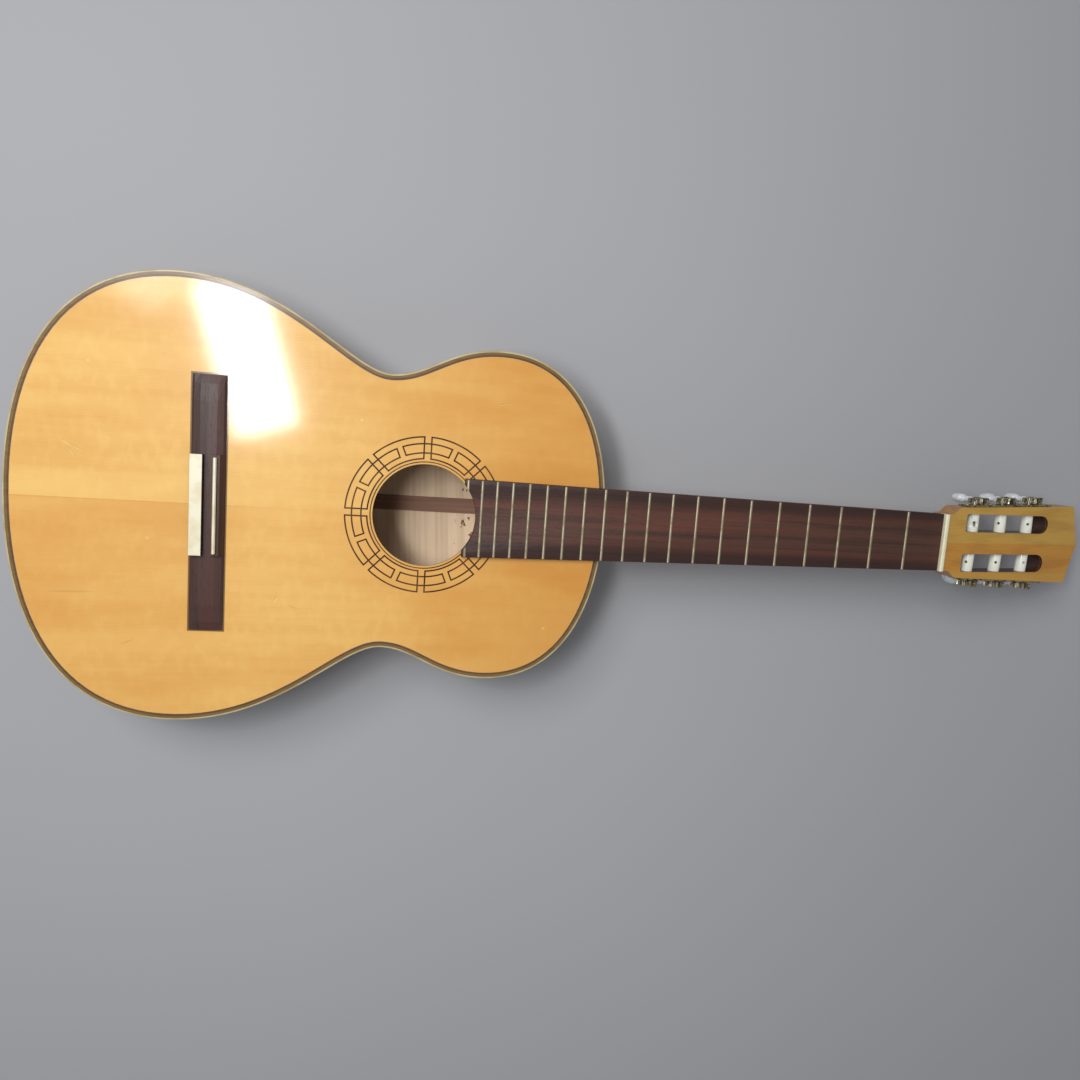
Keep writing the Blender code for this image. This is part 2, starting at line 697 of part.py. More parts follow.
def make_neck():
    neck = piece("neck", neck_shaft("neck"), guitar_frame, cedar)
    levels = (0, 0.3, 0.55, 0.75, 0.88, 1)
    heel = cutter("heel_form", loft("heel_form", [heel_section(share) for share in levels]), guitar_frame)
    combine(neck, heel, "UNION")
    block = box("neck_block", (SHOULDER_X - NECK_BLOCK_LENGTH, -NECK_BLOCK_HALF, -BODY_DEPTH - 0.001),
                (SHOULDER_X - RIB_THICKNESS - 0.0005, NECK_BLOCK_HALF, -0.001))
    combine(neck, cutter("neck_block", block, guitar_frame), "UNION")
    for name, side in (("bass", 1), ("treble", -1)):
        loop = half_band(-0.0022, LINING_INSET, side, 0.120, RIB_WEB_HALF - CLEAR)
        slot = prism("rib_slot_" + name, [loop], -BODY_DEPTH - 0.002, -BINDING_HEIGHT)
        combine(neck, cutter("rib_slot_" + name, slot, guitar_frame), "DIFFERENCE")
    channel_loops = [full_outline(-CLEAR), full_outline(BINDING_WIDTH + CLEAR)]
    channel_top = -BODY_DEPTH + BINDING_HEIGHT + CLEAR
    channel = prism("binding_channel", channel_loops, -BODY_DEPTH - 0.002, channel_top)
    combine(neck, cutter("binding_channel", channel, guitar_frame), "DIFFERENCE")
    top_room = box("soundboard_room", (0.200, -0.060, -TOP_THICKNESS),
                   (SHOULDER_X - BINDING_WIDTH + CLEAR, 0.060, 0.010))
    combine(neck, cutter("soundboard_room", top_room, guitar_frame), "DIFFERENCE")
    under_block = box("back_room", (0.200, -0.060, -BODY_DEPTH - 0.010),
                      (SHOULDER_X, 0.060, INSIDE_FLOOR + CLEAR))
    combine(neck, cutter("back_room", under_block, guitar_frame), "DIFFERENCE")
    combine(neck, scarf_box("scarf_cut", -0.060, HEAD_THICKNESS + CLEAR, -0.200), "DIFFERENCE")


def make_heel_cap():
    section = heel_section(0)
    front = [(max(x, SHOULDER_X + CLEAR), y) for x, y, _ in section]
    low = -BODY_DEPTH + HEEL_LIFT
    mesh = prism("heel_cap", [front[1:-1]], low, low + HEEL_CAP_THICKNESS - CLEAR)
    piece("heel_cap", mesh, guitar_frame, rosewood)


make_neck()
make_heel_cap()


# Head: a slab scarfed on the shaft, two string slots and the bores of the rollers

def head_half_at(along):
    """Half the head's width at a place along its straight sides."""
    share = (along - SHOULDER_END) / (HEAD_CORNER - SHOULDER_END)
    return mix(HEAD_HALF_NUT, HEAD_HALF_TIP, share)


def head_outline(start):
    """The head's plan: neck width, hollow shoulders, straight tapered sides and a low gable."""
    half = [Vector((start, HEAD_NECK_HALF)), Vector((SHOULDER_START, HEAD_NECK_HALF))]
    for i in range(1, 5):
        share = i / 4
        half.append(Vector((mix(SHOULDER_START, SHOULDER_END, share),
                            mix(HEAD_NECK_HALF, HEAD_HALF_NUT, math.sin(share * math.pi / 2) ** 2))))
    half.append(Vector((HEAD_CORNER, HEAD_HALF_TIP)))
    return half + [Vector((HEAD_LENGTH, 0))] + flipped(half)[::-1]


def slot_outline(side):
    """A string slot's plan: small corners at the nut, a half circle at the tip."""
    radius = SLOT_WIDTH / 2
    points = []
    for i in range(7):
        turn = math.pi / 2 - math.pi * i / 6
        points.append((SLOT_END - radius + radius * math.cos(turn), radius * math.sin(turn)))
    for corner, first in ((-1, -math.pi / 2), (1, math.pi)):
        for i in range(3):
            turn = first - math.pi / 2 * i / 2
            points.append((SLOT_START + SLOT_CORNER + SLOT_CORNER * math.cos(turn),
                           corner * (radius - SLOT_CORNER) + SLOT_CORNER * math.sin(turn)))
    return [(x, y + side * SLOT_CENTRE) for x, y in points]


def tuner_frame(name, side):
    """The frame of one side's machines: on the side face, at the middle roller's axis."""
    middle = ROLLER_START + ROLLER_PITCH
    location = (middle, side * head_half_at(middle), -ROLLER_DEPTH)
    return empty("tuner_frame_" + name, head_frame, location, (0, 0, side * SIDE_ANGLE))


def roller_inner_end(index):
    """How far in from the side face a roller's bore ends, in the middle rail."""
    along = ROLLER_START + ROLLER_PITCH * (index + 1)
    rail = SLOT_CENTRE - SLOT_WIDTH / 2
    return head_half_at(along) - rail + ROLLER_SEAT


def make_head(frames, nut_room):
    loops = [head_outline(CLEAR), slot_outline(1), slot_outline(-1)]
    head = piece("head", prism("head", loops, -HEAD_THICKNESS, -HEADPLATE_THICKNESS), head_frame, cedar)
    wedge = cutter("scarf_wedge", neck_shaft("scarf_wedge"), guitar_frame)
    combine(wedge, scarf_box("scarf_keep", -0.060, HEAD_THICKNESS, -0.200), "INTERSECT")
    behind_nut = box("nut_side", (NUT_BACK_X + 0.004, -0.060, -0.060), (NUT_BACK_X + 0.040, 0.060, 0.060))
    combine(wedge, cutter("nut_side", behind_nut, guitar_frame), "DIFFERENCE")
    combine(head, wedge, "UNION")
    combine(head, nut_room, "DIFFERENCE")
    for name, side, frame in frames:
        for index in (-1, 0, 1):
            low, high = sorted((side * 0.004, -side * (roller_inner_end(index) + CLEAR)))
            bore = rod("roller_bore", bore_radius(ROLLER_RADIUS, BORE_STEPS), low, high, BORE_STEPS, "Y")
            bore_name = "roller_bore_" + name + "_" + str(index + 2)
            tool = cutter(bore_name, bore, frame, (ROLLER_PITCH * index, 0, 0))
            combine(head, tool, "DIFFERENCE")


def make_headplate(nut_room):
    loops = [head_outline(CLEAR), slot_outline(1), slot_outline(-1)]
    mesh = prism("headplate", loops, -HEADPLATE_THICKNESS + CLEAR, 0)
    headplate = piece("headplate", mesh, head_frame, headplate_wood)
    combine(headplate, nut_room, "DIFFERENCE")


def make_nut_room():
    """What the nut and the fingerboard leave free of the head, behind the nut's back face."""
    mesh = box("nut_room", (SCALE_LENGTH - 0.1, -0.060, -CLEAR / 2), (NUT_BACK_X + CLEAR, 0.060, 0.030))
    return cutter("nut_room", mesh, guitar_frame)


tuner_frames = [("bass", 1, tuner_frame("bass", 1)), ("treble", -1, tuner_frame("treble", -1))]
room_behind_nut = make_nut_room()
make_head(tuner_frames, room_behind_nut)
make_headplate(room_behind_nut)


# Fingerboard with its frets, and the nut

def fret_x(number):
    """Where a fret stands, by equal temperament."""
    return SCALE_LENGTH * 2 ** (-number / 12)


def make_fingerboard():
    end_x = HOLE_X + HOLE_RADIUS * 0.75
    loop = [(SCALE_LENGTH - CLEAR, board_half(SCALE_LENGTH)), (end_x, board_half(end_x)),
            (end_x, -board_half(end_x)), (SCALE_LENGTH - CLEAR, -board_half(SCALE_LENGTH))]
    board = piece("fingerboard", prism("fingerboard", [loop], 0, BOARD_THICKNESS), guitar_frame, rosewood)
    frets = []
    for number in range(1, FRET_COUNT + 1):
        x = fret_x(number)
        half = board_half(x + FRET_WIDTH / 2) - 0.0002
        base = BOARD_THICKNESS - 0.0010
        top = BOARD_THICKNESS + FRET_HEIGHT
        wide = FRET_WIDTH / 2
        loop = [(x - wide, base), (x - wide * 0.4, top), (x + wide * 0.4, top), (x + wide, base)]
        frets.append(along_y(prism("fret", [loop], -half, half)))
    combine(board, cutter("frets", joined("frets", frets), guitar_frame), "UNION")
    end = rod("board_end", HOLE_RADIUS + BOARD_END_MARGIN, -0.010, 0.020, HOLE_STEPS)
    combine(board, cutter("board_end", end, guitar_frame, (HOLE_X, 0, 0)), "DIFFERENCE")


def make_nut():
    front = SCALE_LENGTH
    back = NUT_BACK_X - CLEAR
    loop = [(front, 0), (front, NUT_HEIGHT - 0.001), (front + 0.001, NUT_HEIGHT),
            (back - 0.002, NUT_HEIGHT - 0.0006), (back, NUT_HEIGHT - 0.0025), (back, 0)]
    half = NUT_WIDTH / 2
    nut = piece("nut", along_y(prism("nut", [loop], -half, half)), guitar_frame, ivory)
    for string in range(6):
        y = (string - 2.5) * NUT_SLOT_PITCH
        groove = rod("string_groove", 0.0007, front - 0.002, back + 0.002, 6, "X")
        tool = cutter("string_groove_" + str(string + 1), groove, guitar_frame, (0, y, NUT_HEIGHT))
        combine(nut, tool, "DIFFERENCE")


make_fingerboard()
make_nut()


# Bridge, saddle and tie-block inlay

def bridge_section():
    """The middle of the bridge: tie block, trench and saddle ridge, as (x, z) points."""
    tail = BRIDGE_TAIL_X
    trench_start = tail + TIE_BLOCK_WIDTH
    trench_end = trench_start + TRENCH_WIDTH
    front = tail + BRIDGE_WIDTH
    return [(tail, 0), (tail, TIE_BLOCK_HEIGHT), (trench_start, TIE_BLOCK_HEIGHT),
            (trench_start, TRENCH_FLOOR), (trench_end, TRENCH_FLOOR), (trench_end, RIDGE_HEIGHT),
            (SADDLE_X + 0.0035, RIDGE_HEIGHT), (front, WING_HEIGHT * 0.5), (front, 0)]


def make_bridge():
    middle = BRIDGE_TAIL_X + BRIDGE_WIDTH / 2
    half_width = BRIDGE_WIDTH / 2
    sections = []
    for share, height in ((-1, 0.3), (-0.93, 0.8), (-0.80, 1), (0.80, 1), (0.93, 0.8), (1, 0.3)):
        y = share * BRIDGE_HALF
        points = [(middle - half_width, y, 0)]
        for i in range(7):
            turn = math.pi - math.pi * i / 6
            lift = height * WING_HEIGHT * (0.35 + 0.65 * math.sin(turn))
            points.append((middle + half_width * math.cos(turn), y, lift))
        points.append((middle + half_width, y, 0))
        sections.append(points)
    bridge = piece("bridge", loft("bridge", sections), guitar_frame, rosewood)
    centre = along_y(prism("bridge_centre", [bridge_section()], -BRIDGE_CENTRE_HALF, BRIDGE_CENTRE_HALF))
    combine(bridge, cutter("bridge_centre", centre, guitar_frame), "UNION")
    half = SADDLE_THICKNESS / 2 + CLEAR
    slot = box("saddle_slot", (SADDLE_X - half, -BRIDGE_CENTRE_HALF + 0.002 - CLEAR, SADDLE_SEAT - CLEAR),
               (SADDLE_X + half, BRIDGE_CENTRE_HALF - 0.002 + CLEAR, 0.020))
    combine(bridge, cutter("saddle_slot", slot, guitar_frame), "DIFFERENCE")
    for string in range(6):
        y = (string - 2.5) * STRING_SPACING
        start = BRIDGE_TAIL_X - 0.002
        hole = rod("string_hole", STRING_HOLE_RADIUS, start, start + TIE_BLOCK_WIDTH + 0.004, 6, "X")
        tool = cutter("string_hole_" + str(string + 1), hole, guitar_frame, (0, y, TRENCH_FLOOR + 0.0018))
        combine(bridge, tool, "DIFFERENCE")


def make_saddle():
    half = SADDLE_THICKNESS / 2
    loop = [(SADDLE_X - half, SADDLE_SEAT), (SADDLE_X - half, SADDLE_HEIGHT - 0.0009),
            (SADDLE_X - half * 0.4, SADDLE_HEIGHT), (SADDLE_X + half * 0.4, SADDLE_HEIGHT),
            (SADDLE_X + half, SADDLE_HEIGHT - 0.0009), (SADDLE_X + half, SADDLE_SEAT)]
    reach = BRIDGE_CENTRE_HALF - 0.002
    piece("saddle", along_y(prism("saddle", [loop], -reach, reach)), guitar_frame, ivory)


def make_inlay():
    low = (BRIDGE_TAIL_X + CLEAR, -BRIDGE_CENTRE_HALF, TIE_BLOCK_HEIGHT)
    high = (BRIDGE_TAIL_X + TIE_BLOCK_WIDTH - CLEAR, BRIDGE_CENTRE_HALF, TIE_BLOCK_HEIGHT + INLAY_THICKNESS)
    piece("tie_block_inlay", box("tie_block_inlay", low, high), guitar_frame, ivory)


make_bridge()
make_saddle()
make_inlay()


# Tuning machines: plate, rollers with a square spindle, worm wheels, worm shafts and buttons

def gear_mesh(phase):
    """A worm wheel on the y axis whose teeth lean at the worm's lead angle."""
    root = GEAR_PITCH_RADIUS - TOOTH_DEPTH - TOOTH_CLEAR
    tip = GEAR_PITCH_RADIUS + TOOTH_DEPTH
    loop = []
    for tooth in range(GEAR_TEETH):
        middle = (tooth + 0.5) * 2 * math.pi / GEAR_TEETH + phase
        for radius, offset in ((root, -TOOTH_ROOT_HALF), (tip, -TOOTH_TIP_HALF),
                               (tip, TOOTH_TIP_HALF), (root, TOOTH_ROOT_HALF)):
            turn = middle + offset / radius
            loop.append((radius * math.cos(turn), radius * math.sin(turn)))
    bore = bore_radius(SPINDLE_RADIUS, 4)
    hole = [(bore, 0), (0, bore), (-bore, 0), (0, -bore)]
    mesh = along_y(prism("gear", [loop, hole], -GEAR_OUTER_FACE, -GEAR_INNER_FACE))
    lean = WORM_PITCH / (2 * math.pi * WORM_PITCH_RADIUS) / GEAR_PITCH_RADIUS
    for vertex in mesh.vertices:
        twist = Matrix.Rotation(lean * (vertex.co.y - WORM_AXIS_OUT), 3, "Y")
        vertex.co = twist @ vertex.co
    return mesh


def thread_mesh(phase):
    """The worm's thread on the z axis, right-handed, run out at both ends."""
    count = int(WORM_TURNS * WORM_STEPS)
    core = SHAFT_RADIUS * 0.8
    sections = []
    for i in range(count + 1):
        turn = (i - count / 2) * 2 * math.pi / WORM_STEPS
        rise = turn * WORM_PITCH / (2 * math.pi)
        reach = min(1, (min(i, count - i) + 0.4) / 3)
        outer = mix(SHAFT_RADIUS, WORM_OUTER, reach)
        points = []
        for radius, offset in ((core, -THREAD_ROOT_HALF), (core, THREAD_ROOT_HALF),
                               (outer, TOOTH_TIP_HALF), (outer, -TOOTH_TIP_HALF)):
            points.append((radius * math.cos(turn + phase), radius * math.sin(turn + phase), rise + offset))
        sections.append(points)
    return loft("worm_thread", sections)


def make_plate(name, frame, side):
    """The side plate with a pair of lugs for each worm shaft."""
    inner = CLEAR
    outer = CLEAR + PLATE_THICKNESS
    mesh = box(name, (PLATE_NUT_END, inner, -PLATE_HALF_HEIGHT), (PLATE_TIP_END, outer, PLATE_HALF_HEIGHT))
    tools = []
    for index in (-1, 0, 1):
        x = ROLLER_PITCH * index
        worm_x = x + WORM_DISTANCE
        for end in (-1, 1):
            near, far = sorted((end * LUG_GAP, end * (LUG_GAP + LUG_THICKNESS)))
            lug = box("lug", (worm_x - LUG_HALF, outer - 0.0005, near),
                      (worm_x + LUG_HALF, WORM_AXIS_OUT + LUG_HALF + 0.0004, far))
            tools.append(("lug", index, end, lug, (0, 0, 0), "UNION"))
        bore = rod("shaft_bore", bore_radius(SHAFT_RADIUS, WORM_STEPS), -0.0075, 0.0075, WORM_STEPS)
        tools.append(("shaft_bore", index, 0, bore, (worm_x, WORM_AXIS_OUT, 0), "DIFFERENCE"))
        hole = rod("spindle_hole", bore_radius(SPINDLE_RADIUS, 8), -0.001, 0.004, 8, "Y")
        tools.append(("spindle_hole", index, 0, hole, (x, 0, 0), "DIFFERENCE"))
    plate = piece("tuner_plate_" + name, mesh if side > 0 else mirrored(mesh), frame, brass)
    for label, index, end, shape, place, operation in tools:
        tool_name = "_".join((label, name, str(index + 2), str(end + 1)))
        shape = shape if side > 0 else mirrored(shape)
        location = (place[0], side * place[1], place[2])
        combine(plate, cutter(tool_name, shape, frame, location), operation)


def make_roller(side, frame, index, number):
    """A string roller: sleeve in the slot, spindle out through the plate, hole for the string."""
    inner = roller_inner_end(index)
    x = ROLLER_PITCH * index
    sleeve = rod("sleeve", ROLLER_RADIUS, -inner, -CLEAR, ROLLER_STEPS, "Y")
    spindle = rod("spindle", SPINDLE_RADIUS, -0.002, GEAR_OUTER_FACE - CLEAR, 4, "Y")
    along = ROLLER_START + ROLLER_PITCH * (index + 1)
    hole_y = SLOT_CENTRE - head_half_at(along)
    hole = rod("string_passage", 0.0011, -0.010, 0.010, 6)
    meshes = [sleeve, spindle, hole]
    if side < 0:
        meshes = [mirrored(mesh) for mesh in meshes]
    roller = piece("roller_" + number, meshes[0], frame, ivory, (x, 0, 0))
    smooth(roller)
    combine(roller, cutter("spindle_" + number, meshes[1], frame, (x, 0, 0)), "UNION")
    turn = math.radians(STRING_HOLE_ANGLES[int(number) - 1] - 90)
    passage = cutter("string_passage_" + number, meshes[2], frame, (x, side * hole_y, 0), (0, turn, 0))
    combine(roller, passage, "DIFFERENCE")
    if number == "6":
        break_sleeve(roller, frame, x, hole_y)


def break_sleeve(roller, frame, x, hole_y):
    """The broken sleeve: a piece is gone down to the steel core, by the string hole."""
    chip = box("sleeve_chip", (-0.0020, hole_y - 0.0064, CORE_RADIUS), (0.0040, hole_y + 0.0018, 0.0080))
    combine(roller, cutter("sleeve_chip", chip, frame, (x, 0, 0), (0, math.radians(-18), 0)), "DIFFERENCE")


def make_gear(side, frame, index, number):
    """The worm wheel on the roller's spindle."""
    phase = math.radians(WORM_PHASES[int(number) - 1]) / GEAR_TEETH
    mesh = gear_mesh(phase)
    if side < 0:
        mesh = mirrored(mesh)
    smooth(piece("gear_" + number, mesh, frame, brass, (ROLLER_PITCH * index, 0, 0)), 25)


def make_worm(side, frame, index, number):
    """The worm and its shaft, with the button on the far end."""
    phase = math.radians(WORM_PHASES[int(number) - 1])
    shaft_end = LUG_GAP + LUG_THICKNESS + TOOTH_DEPTH
    shaft = rod("shaft", SHAFT_RADIUS, -BUTTON_DROP - SHAFT_SEAT, shaft_end, WORM_STEPS)
    thread = thread_mesh(math.pi - phase)
    button = button_mesh()
    if side < 0:
        shaft, thread, button = (mirrored(mesh) for mesh in (shaft, thread, button))
    place = (ROLLER_PITCH * index + WORM_DISTANCE, side * WORM_AXIS_OUT, 0)
    worm = piece("worm_shaft_" + number, shaft, frame, brass, place)
    combine(worm, cutter("worm_thread_" + number, thread, frame, place), "UNION")
    knob_turn = (0, 0, side * phase)
    knob = piece("button_" + number, button, frame, pearl, place, knob_turn)
    smooth(knob, 50)


def button_mesh():
    """A flattened turned button, bored for the shaft, hanging down from its collar."""
    bore = SHAFT_RADIUS + CLEAR
    top = -BUTTON_DROP
    collar = top - BUTTON_COLLAR
    bottom = top - BUTTON_LENGTH
    wide = BUTTON_HALF_WIDTH
    floor = top - SHAFT_SEAT - CLEAR
    profile = [(0, floor), (bore, floor), (bore, top), (0.0030, top), (0.0034, collar),
               (wide * 0.85, collar - 0.0012), (wide, collar - 0.0045), (wide * 0.88, bottom + 0.0014),
               (wide * 0.45, bottom), (0, bottom)]
    flatten = [1, 1, 1, 1, 1, BUTTON_FLATNESS, BUTTON_FLATNESS, BUTTON_FLATNESS, BUTTON_FLATNESS, 1]
    steps = 8
    shape = bmesh.new()
    rings = []
    for (radius, z), flat in zip(profile, flatten):
        if radius == 0:
            rings.append([shape.verts.new((0, 0, z))] * steps)
            continue
        turns = [2 * math.pi * i / steps for i in range(steps)]
        rings.append([shape.verts.new((radius * math.cos(turn), radius * flat * math.sin(turn), z))
                      for turn in turns])
    for ring, following in zip(rings, rings[1:]):
        for i in range(steps):
            j = (i + 1) % steps
            corners = [ring[i], ring[j], following[j], following[i]]
            shape.faces.new(list(dict.fromkeys(corners)))
    bmesh.ops.recalc_face_normals(shape, faces=shape.faces)
    mesh = bpy.data.meshes.new("button")
    shape.to_mesh(mesh)
    shape.free()
    return mesh


def make_machines(name, side, frame):
    make_plate(name, frame, side)
    for index in (-1, 0, 1):
        number = str(5 - index) if side > 0 else str(2 + index)
        make_roller(side, frame, index, number)
        make_gear(side, frame, index, number)
        make_worm(side, frame, index, number)


for frame_name, frame_side, frame_object in tuner_frames:
    make_machines(frame_name, frame_side, frame_object)
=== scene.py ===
"""A worn classical guitar on its back: finished woods, inlays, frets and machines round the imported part."""

import math
import random

import bpy
from mathutils import Matrix, Vector


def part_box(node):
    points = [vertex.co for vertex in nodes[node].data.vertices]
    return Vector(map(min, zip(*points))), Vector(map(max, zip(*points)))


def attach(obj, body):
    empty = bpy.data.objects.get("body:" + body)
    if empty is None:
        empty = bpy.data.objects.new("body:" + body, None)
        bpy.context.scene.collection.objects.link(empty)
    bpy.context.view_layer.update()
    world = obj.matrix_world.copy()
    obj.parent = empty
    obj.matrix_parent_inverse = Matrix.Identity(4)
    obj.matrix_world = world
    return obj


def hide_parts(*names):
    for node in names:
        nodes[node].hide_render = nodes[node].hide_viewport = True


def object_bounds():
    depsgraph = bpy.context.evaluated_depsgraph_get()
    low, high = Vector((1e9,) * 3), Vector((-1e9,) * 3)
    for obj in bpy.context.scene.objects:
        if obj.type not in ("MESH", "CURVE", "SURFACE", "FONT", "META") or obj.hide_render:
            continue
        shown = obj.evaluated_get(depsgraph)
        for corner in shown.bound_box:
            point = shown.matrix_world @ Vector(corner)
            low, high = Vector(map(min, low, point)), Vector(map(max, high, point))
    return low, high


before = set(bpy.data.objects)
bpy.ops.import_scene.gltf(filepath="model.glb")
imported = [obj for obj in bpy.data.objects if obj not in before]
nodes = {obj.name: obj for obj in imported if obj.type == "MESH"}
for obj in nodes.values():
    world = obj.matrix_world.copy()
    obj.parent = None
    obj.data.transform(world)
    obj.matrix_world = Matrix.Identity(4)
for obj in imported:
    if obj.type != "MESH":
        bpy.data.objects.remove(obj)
cad_low, cad_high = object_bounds()
random.seed(7)


# The soundboard is two bookmatched halves of spruce, glued along the middle and thicknessed to 2.5 mm.
# Its amber gloss varnish has dents, scratches and a duller, redder treble half. The rosette's ring is
# cut from the same board, so one plate stands for both.

TAIL_TO_SADDLE = 0.1650
SADDLE_LINE = cad_low.x + TAIL_TO_SADDLE
TOP_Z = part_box("soundboard")[1].z
TOP_THICKNESS = 0.0025
HOLE_X = 0.1690
HOLE_RADIUS = 0.0439
BINDING_WIDTH = 0.0016
PURFLING_WIDTH = 0.0040
GLUE_GAP = 0.00002
# Along the body from the tail: place, half width, handle towards the tail, handle towards the neck.
BODY_KNOTS = (
    (-0.1650, 0.0, None, 0.1155),
    (-0.0320, 0.1853, 0.0860, 0.0860),
    (0.1362, 0.1172, 0.0328, 0.0302),
    (0.2279, 0.1432, 0.0444, 0.0621),
    (0.3270, 0.0, 0.0893, None),
)
SPRUCE_LIGHT = (0.87, 0.520, 0.152, 1)
SPRUCE_DARK = (0.74, 0.395, 0.092, 1)
SPRUCE_RED = (0.66, 0.270, 0.040, 1)
SPRUCE_PALE = (0.92, 0.590, 0.185, 1)
DENT_PALE = (0.97, 0.68, 0.27, 1)
SCRATCH_PALE = (0.90, 0.62, 0.30, 1)
DENT_BROWN = (0.50, 0.235, 0.06, 1)
CUT_AND_SHADE_BROWN = (0.10, 0.042, 0.016, 1)
# A wood's figure: width of its rings, strength of rings, fibres and streaks, and width of the streaks.
SPRUCE_FIGURE = (0.0017, 0.26, 0.55, 0.38, 0.012)
SPRUCE_ROUGHNESS = 0.42
GRAIN_DEPTH = 0.00004
# Where the board is redder or paler, from the frame's middle: one end of the fade, then the other.
TAILWARDS = (-0.27, -0.37)
NECKWARDS = (-0.28, 0.0)
# The bridge's dark foot line, glue with painted shade: where it has faded out and where it is full, out from
# the bridge.
BRIDGE_GLUE_AND_SHADE_LINE = (0.0018, 0.0011)
# Faces whose normal leans this far from the vertical count as sawn edges.
UPRIGHT_FACE = (0.55, 0.40)
# Larger marks, from the saddle line: place, turn, length and width in millimetres. Dents through the
# varnish are pale, and rubbed-in dirt is brown.
PALE_MARKS = (
    (-0.1170, 0.0440, -0.55, 12, 1.9), (-0.1085, 0.0398, -0.45, 11, 1.6), (-0.1135, 0.0370, -1.0, 8, 1.6),
    (-0.0420, 0.1180, -0.5, 9, 1.6), (0.0480, -0.0780, 0.9, 7, 2.0), (0.2300, 0.0980, 0.2, 16, 1.0),
)
BROWN_MARKS = (
    (-0.1140, -0.0770, 0.03, 50, 2.6), (-0.0700, -0.1180, 0.4, 14, 1.6), (0.0620, -0.0840, -0.3, 12, 1.4),
)


def spot(x, y, z):
    """A place measured from the saddle line, the centre line and the soundboard."""
    return Vector((SADDLE_LINE + x, y, TOP_Z + z))


def pick(*pieces):
    """Selects these pieces alone."""
    bpy.ops.object.select_all(action="DESELECT")
    for piece in pieces:
        piece.select_set(True)
    bpy.context.view_layer.objects.active = pieces[0]


def named(name):
    """Names the piece just added, and its mesh."""
    piece = bpy.context.object
    piece.name = name
    piece.data.name = name
    return piece


def joined(name, pieces):
    """Joins pieces into the first and names it."""
    pick(*pieces)
    bpy.ops.object.join()
    return named(name)


def open_mesh(piece):
    """Opens a piece for editing, all of it selected."""
    pick(piece)
    bpy.ops.object.mode_set(mode="EDIT")
    bpy.ops.mesh.select_all(action="SELECT")


def close_mesh():
    bpy.ops.object.mode_set(mode="OBJECT")


def settle(piece, body, slot, *replaced):
    """Puts a finished piece's place into its mesh and joins it to the guitar."""
    pick(piece)
    bpy.ops.object.transform_apply(location=True, rotation=True, scale=True)
    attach(piece, body)
    if replaced:
        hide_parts(*replaced)


def tidy_shell(piece, angle=32):
    """Merges doubles, turns the faces outwards and smooths the round stretches."""
    open_mesh(piece)
    bpy.ops.mesh.remove_doubles(threshold=0.000005)
    bpy.ops.mesh.normals_make_consistent(inside=False)
    close_mesh()
    bpy.ops.object.shade_smooth_by_angle(angle=math.radians(angle))


def body_curve(name, height):
    """The body's outline as a closed Bezier curve at a height from the soundboard."""
    bpy.ops.curve.primitive_bezier_circle_add(radius=1)
    curve = named(name)
    bpy.ops.object.mode_set(mode="EDIT")
    bpy.ops.curve.select_all(action="SELECT")
    bpy.ops.curve.subdivide(number_cuts=1)
    bpy.ops.object.mode_set(mode="OBJECT")
    knots = [(x, y, before, after, 1) for x, y, before, after in BODY_KNOTS]
    knots += [(x, -y, after, before, -1) for x, y, before, after in BODY_KNOTS[3:0:-1]]
    for point, (x, y, before, after, way) in zip(curve.data.splines[0].bezier_points, knots):
        point.handle_left_type = point.handle_right_type = "FREE"
        point.co = spot(x, y, 0) * Vector((1, 1, 0))
        if before is None:
            step = Vector((0, after, 0))
            point.handle_left, point.handle_right = point.co - step, point.co + step
        elif after is None:
            step = Vector((0, before, 0))
            point.handle_left, point.handle_right = point.co + step, point.co - step
        else:
            point.handle_left = point.co - Vector((way * before, 0, 0))
            point.handle_right = point.co + Vector((way * after, 0, 0))
    curve.data.dimensions = "2D"
    curve.data.resolution_u = 24
    curve.location.z = TOP_Z + height
    return curve


def cut_with(piece, tool):
    """Cuts a tool's shape out of a piece. The tool is then thrown away."""
    pick(piece)
    boolean = piece.modifiers.new("cut", "BOOLEAN")
    boolean.operation = "DIFFERENCE"
    boolean.solver = "EXACT"
    boolean.object = tool
    bpy.ops.object.modifier_apply(modifier="cut")
    bpy.data.objects.remove(tool)


def hole_saw(radius):
    """A round saw that stands in the soundhole."""
    bpy.ops.mesh.primitive_cylinder_add(vertices=128, radius=radius, depth=0.04, location=spot(HOLE_X, 0, 0))
    return named("hole_saw")


def feed(tree, made, inputs):
    """Sets a node's inputs to values, or links them to sockets."""
    for key, value in inputs.items():
        if isinstance(value, bpy.types.NodeSocket):
            tree.links.new(value, made.inputs[key])
        else:
            made.inputs[key].default_value = value
    return made


def add_node(tree, kind, inputs, **settings):
    """Adds a shader node with its settings and inputs."""
    made = tree.nodes.new("ShaderNode" + kind)
    for key, value in settings.items():
        setattr(made, key, value)
    return feed(tree, made, inputs)


def math_node(tree, operation, *values):
    return add_node(tree, "Math", dict(enumerate(values)), operation=operation).outputs[0]


def times(tree, first, second):
    return math_node(tree, "MULTIPLY", first, second)


def times_plus(tree, first, second, added):
    return math_node(tree, "MULTIPLY_ADD", first, second, added)


def vector_node(tree, operation, *values):
    return add_node(tree, "VectorMath", dict(enumerate(values)), operation=operation).outputs


def axes_of(tree, place):
    return add_node(tree, "SeparateXYZ", {0: place}).outputs


def blend_colours(tree, share, first, second):
    return add_node(tree, "Mix", {0: share, 6: first, 7: second}, data_type="RGBA").outputs[2]


def band(tree, value, low, high):
    """0 below low, 1 above high, smooth between."""
    inputs = {"Value": value, "From Min": low, "From Max": high}
    return add_node(tree, "MapRange", inputs, interpolation_type="SMOOTHSTEP").outputs[0]


def mapped(tree, place, rotation=(0, 0, 0), scale=(1, 1, 1)):
    return add_node(tree, "Mapping", {"Vector": place, "Rotation": rotation, "Scale": scale}).outputs[0]


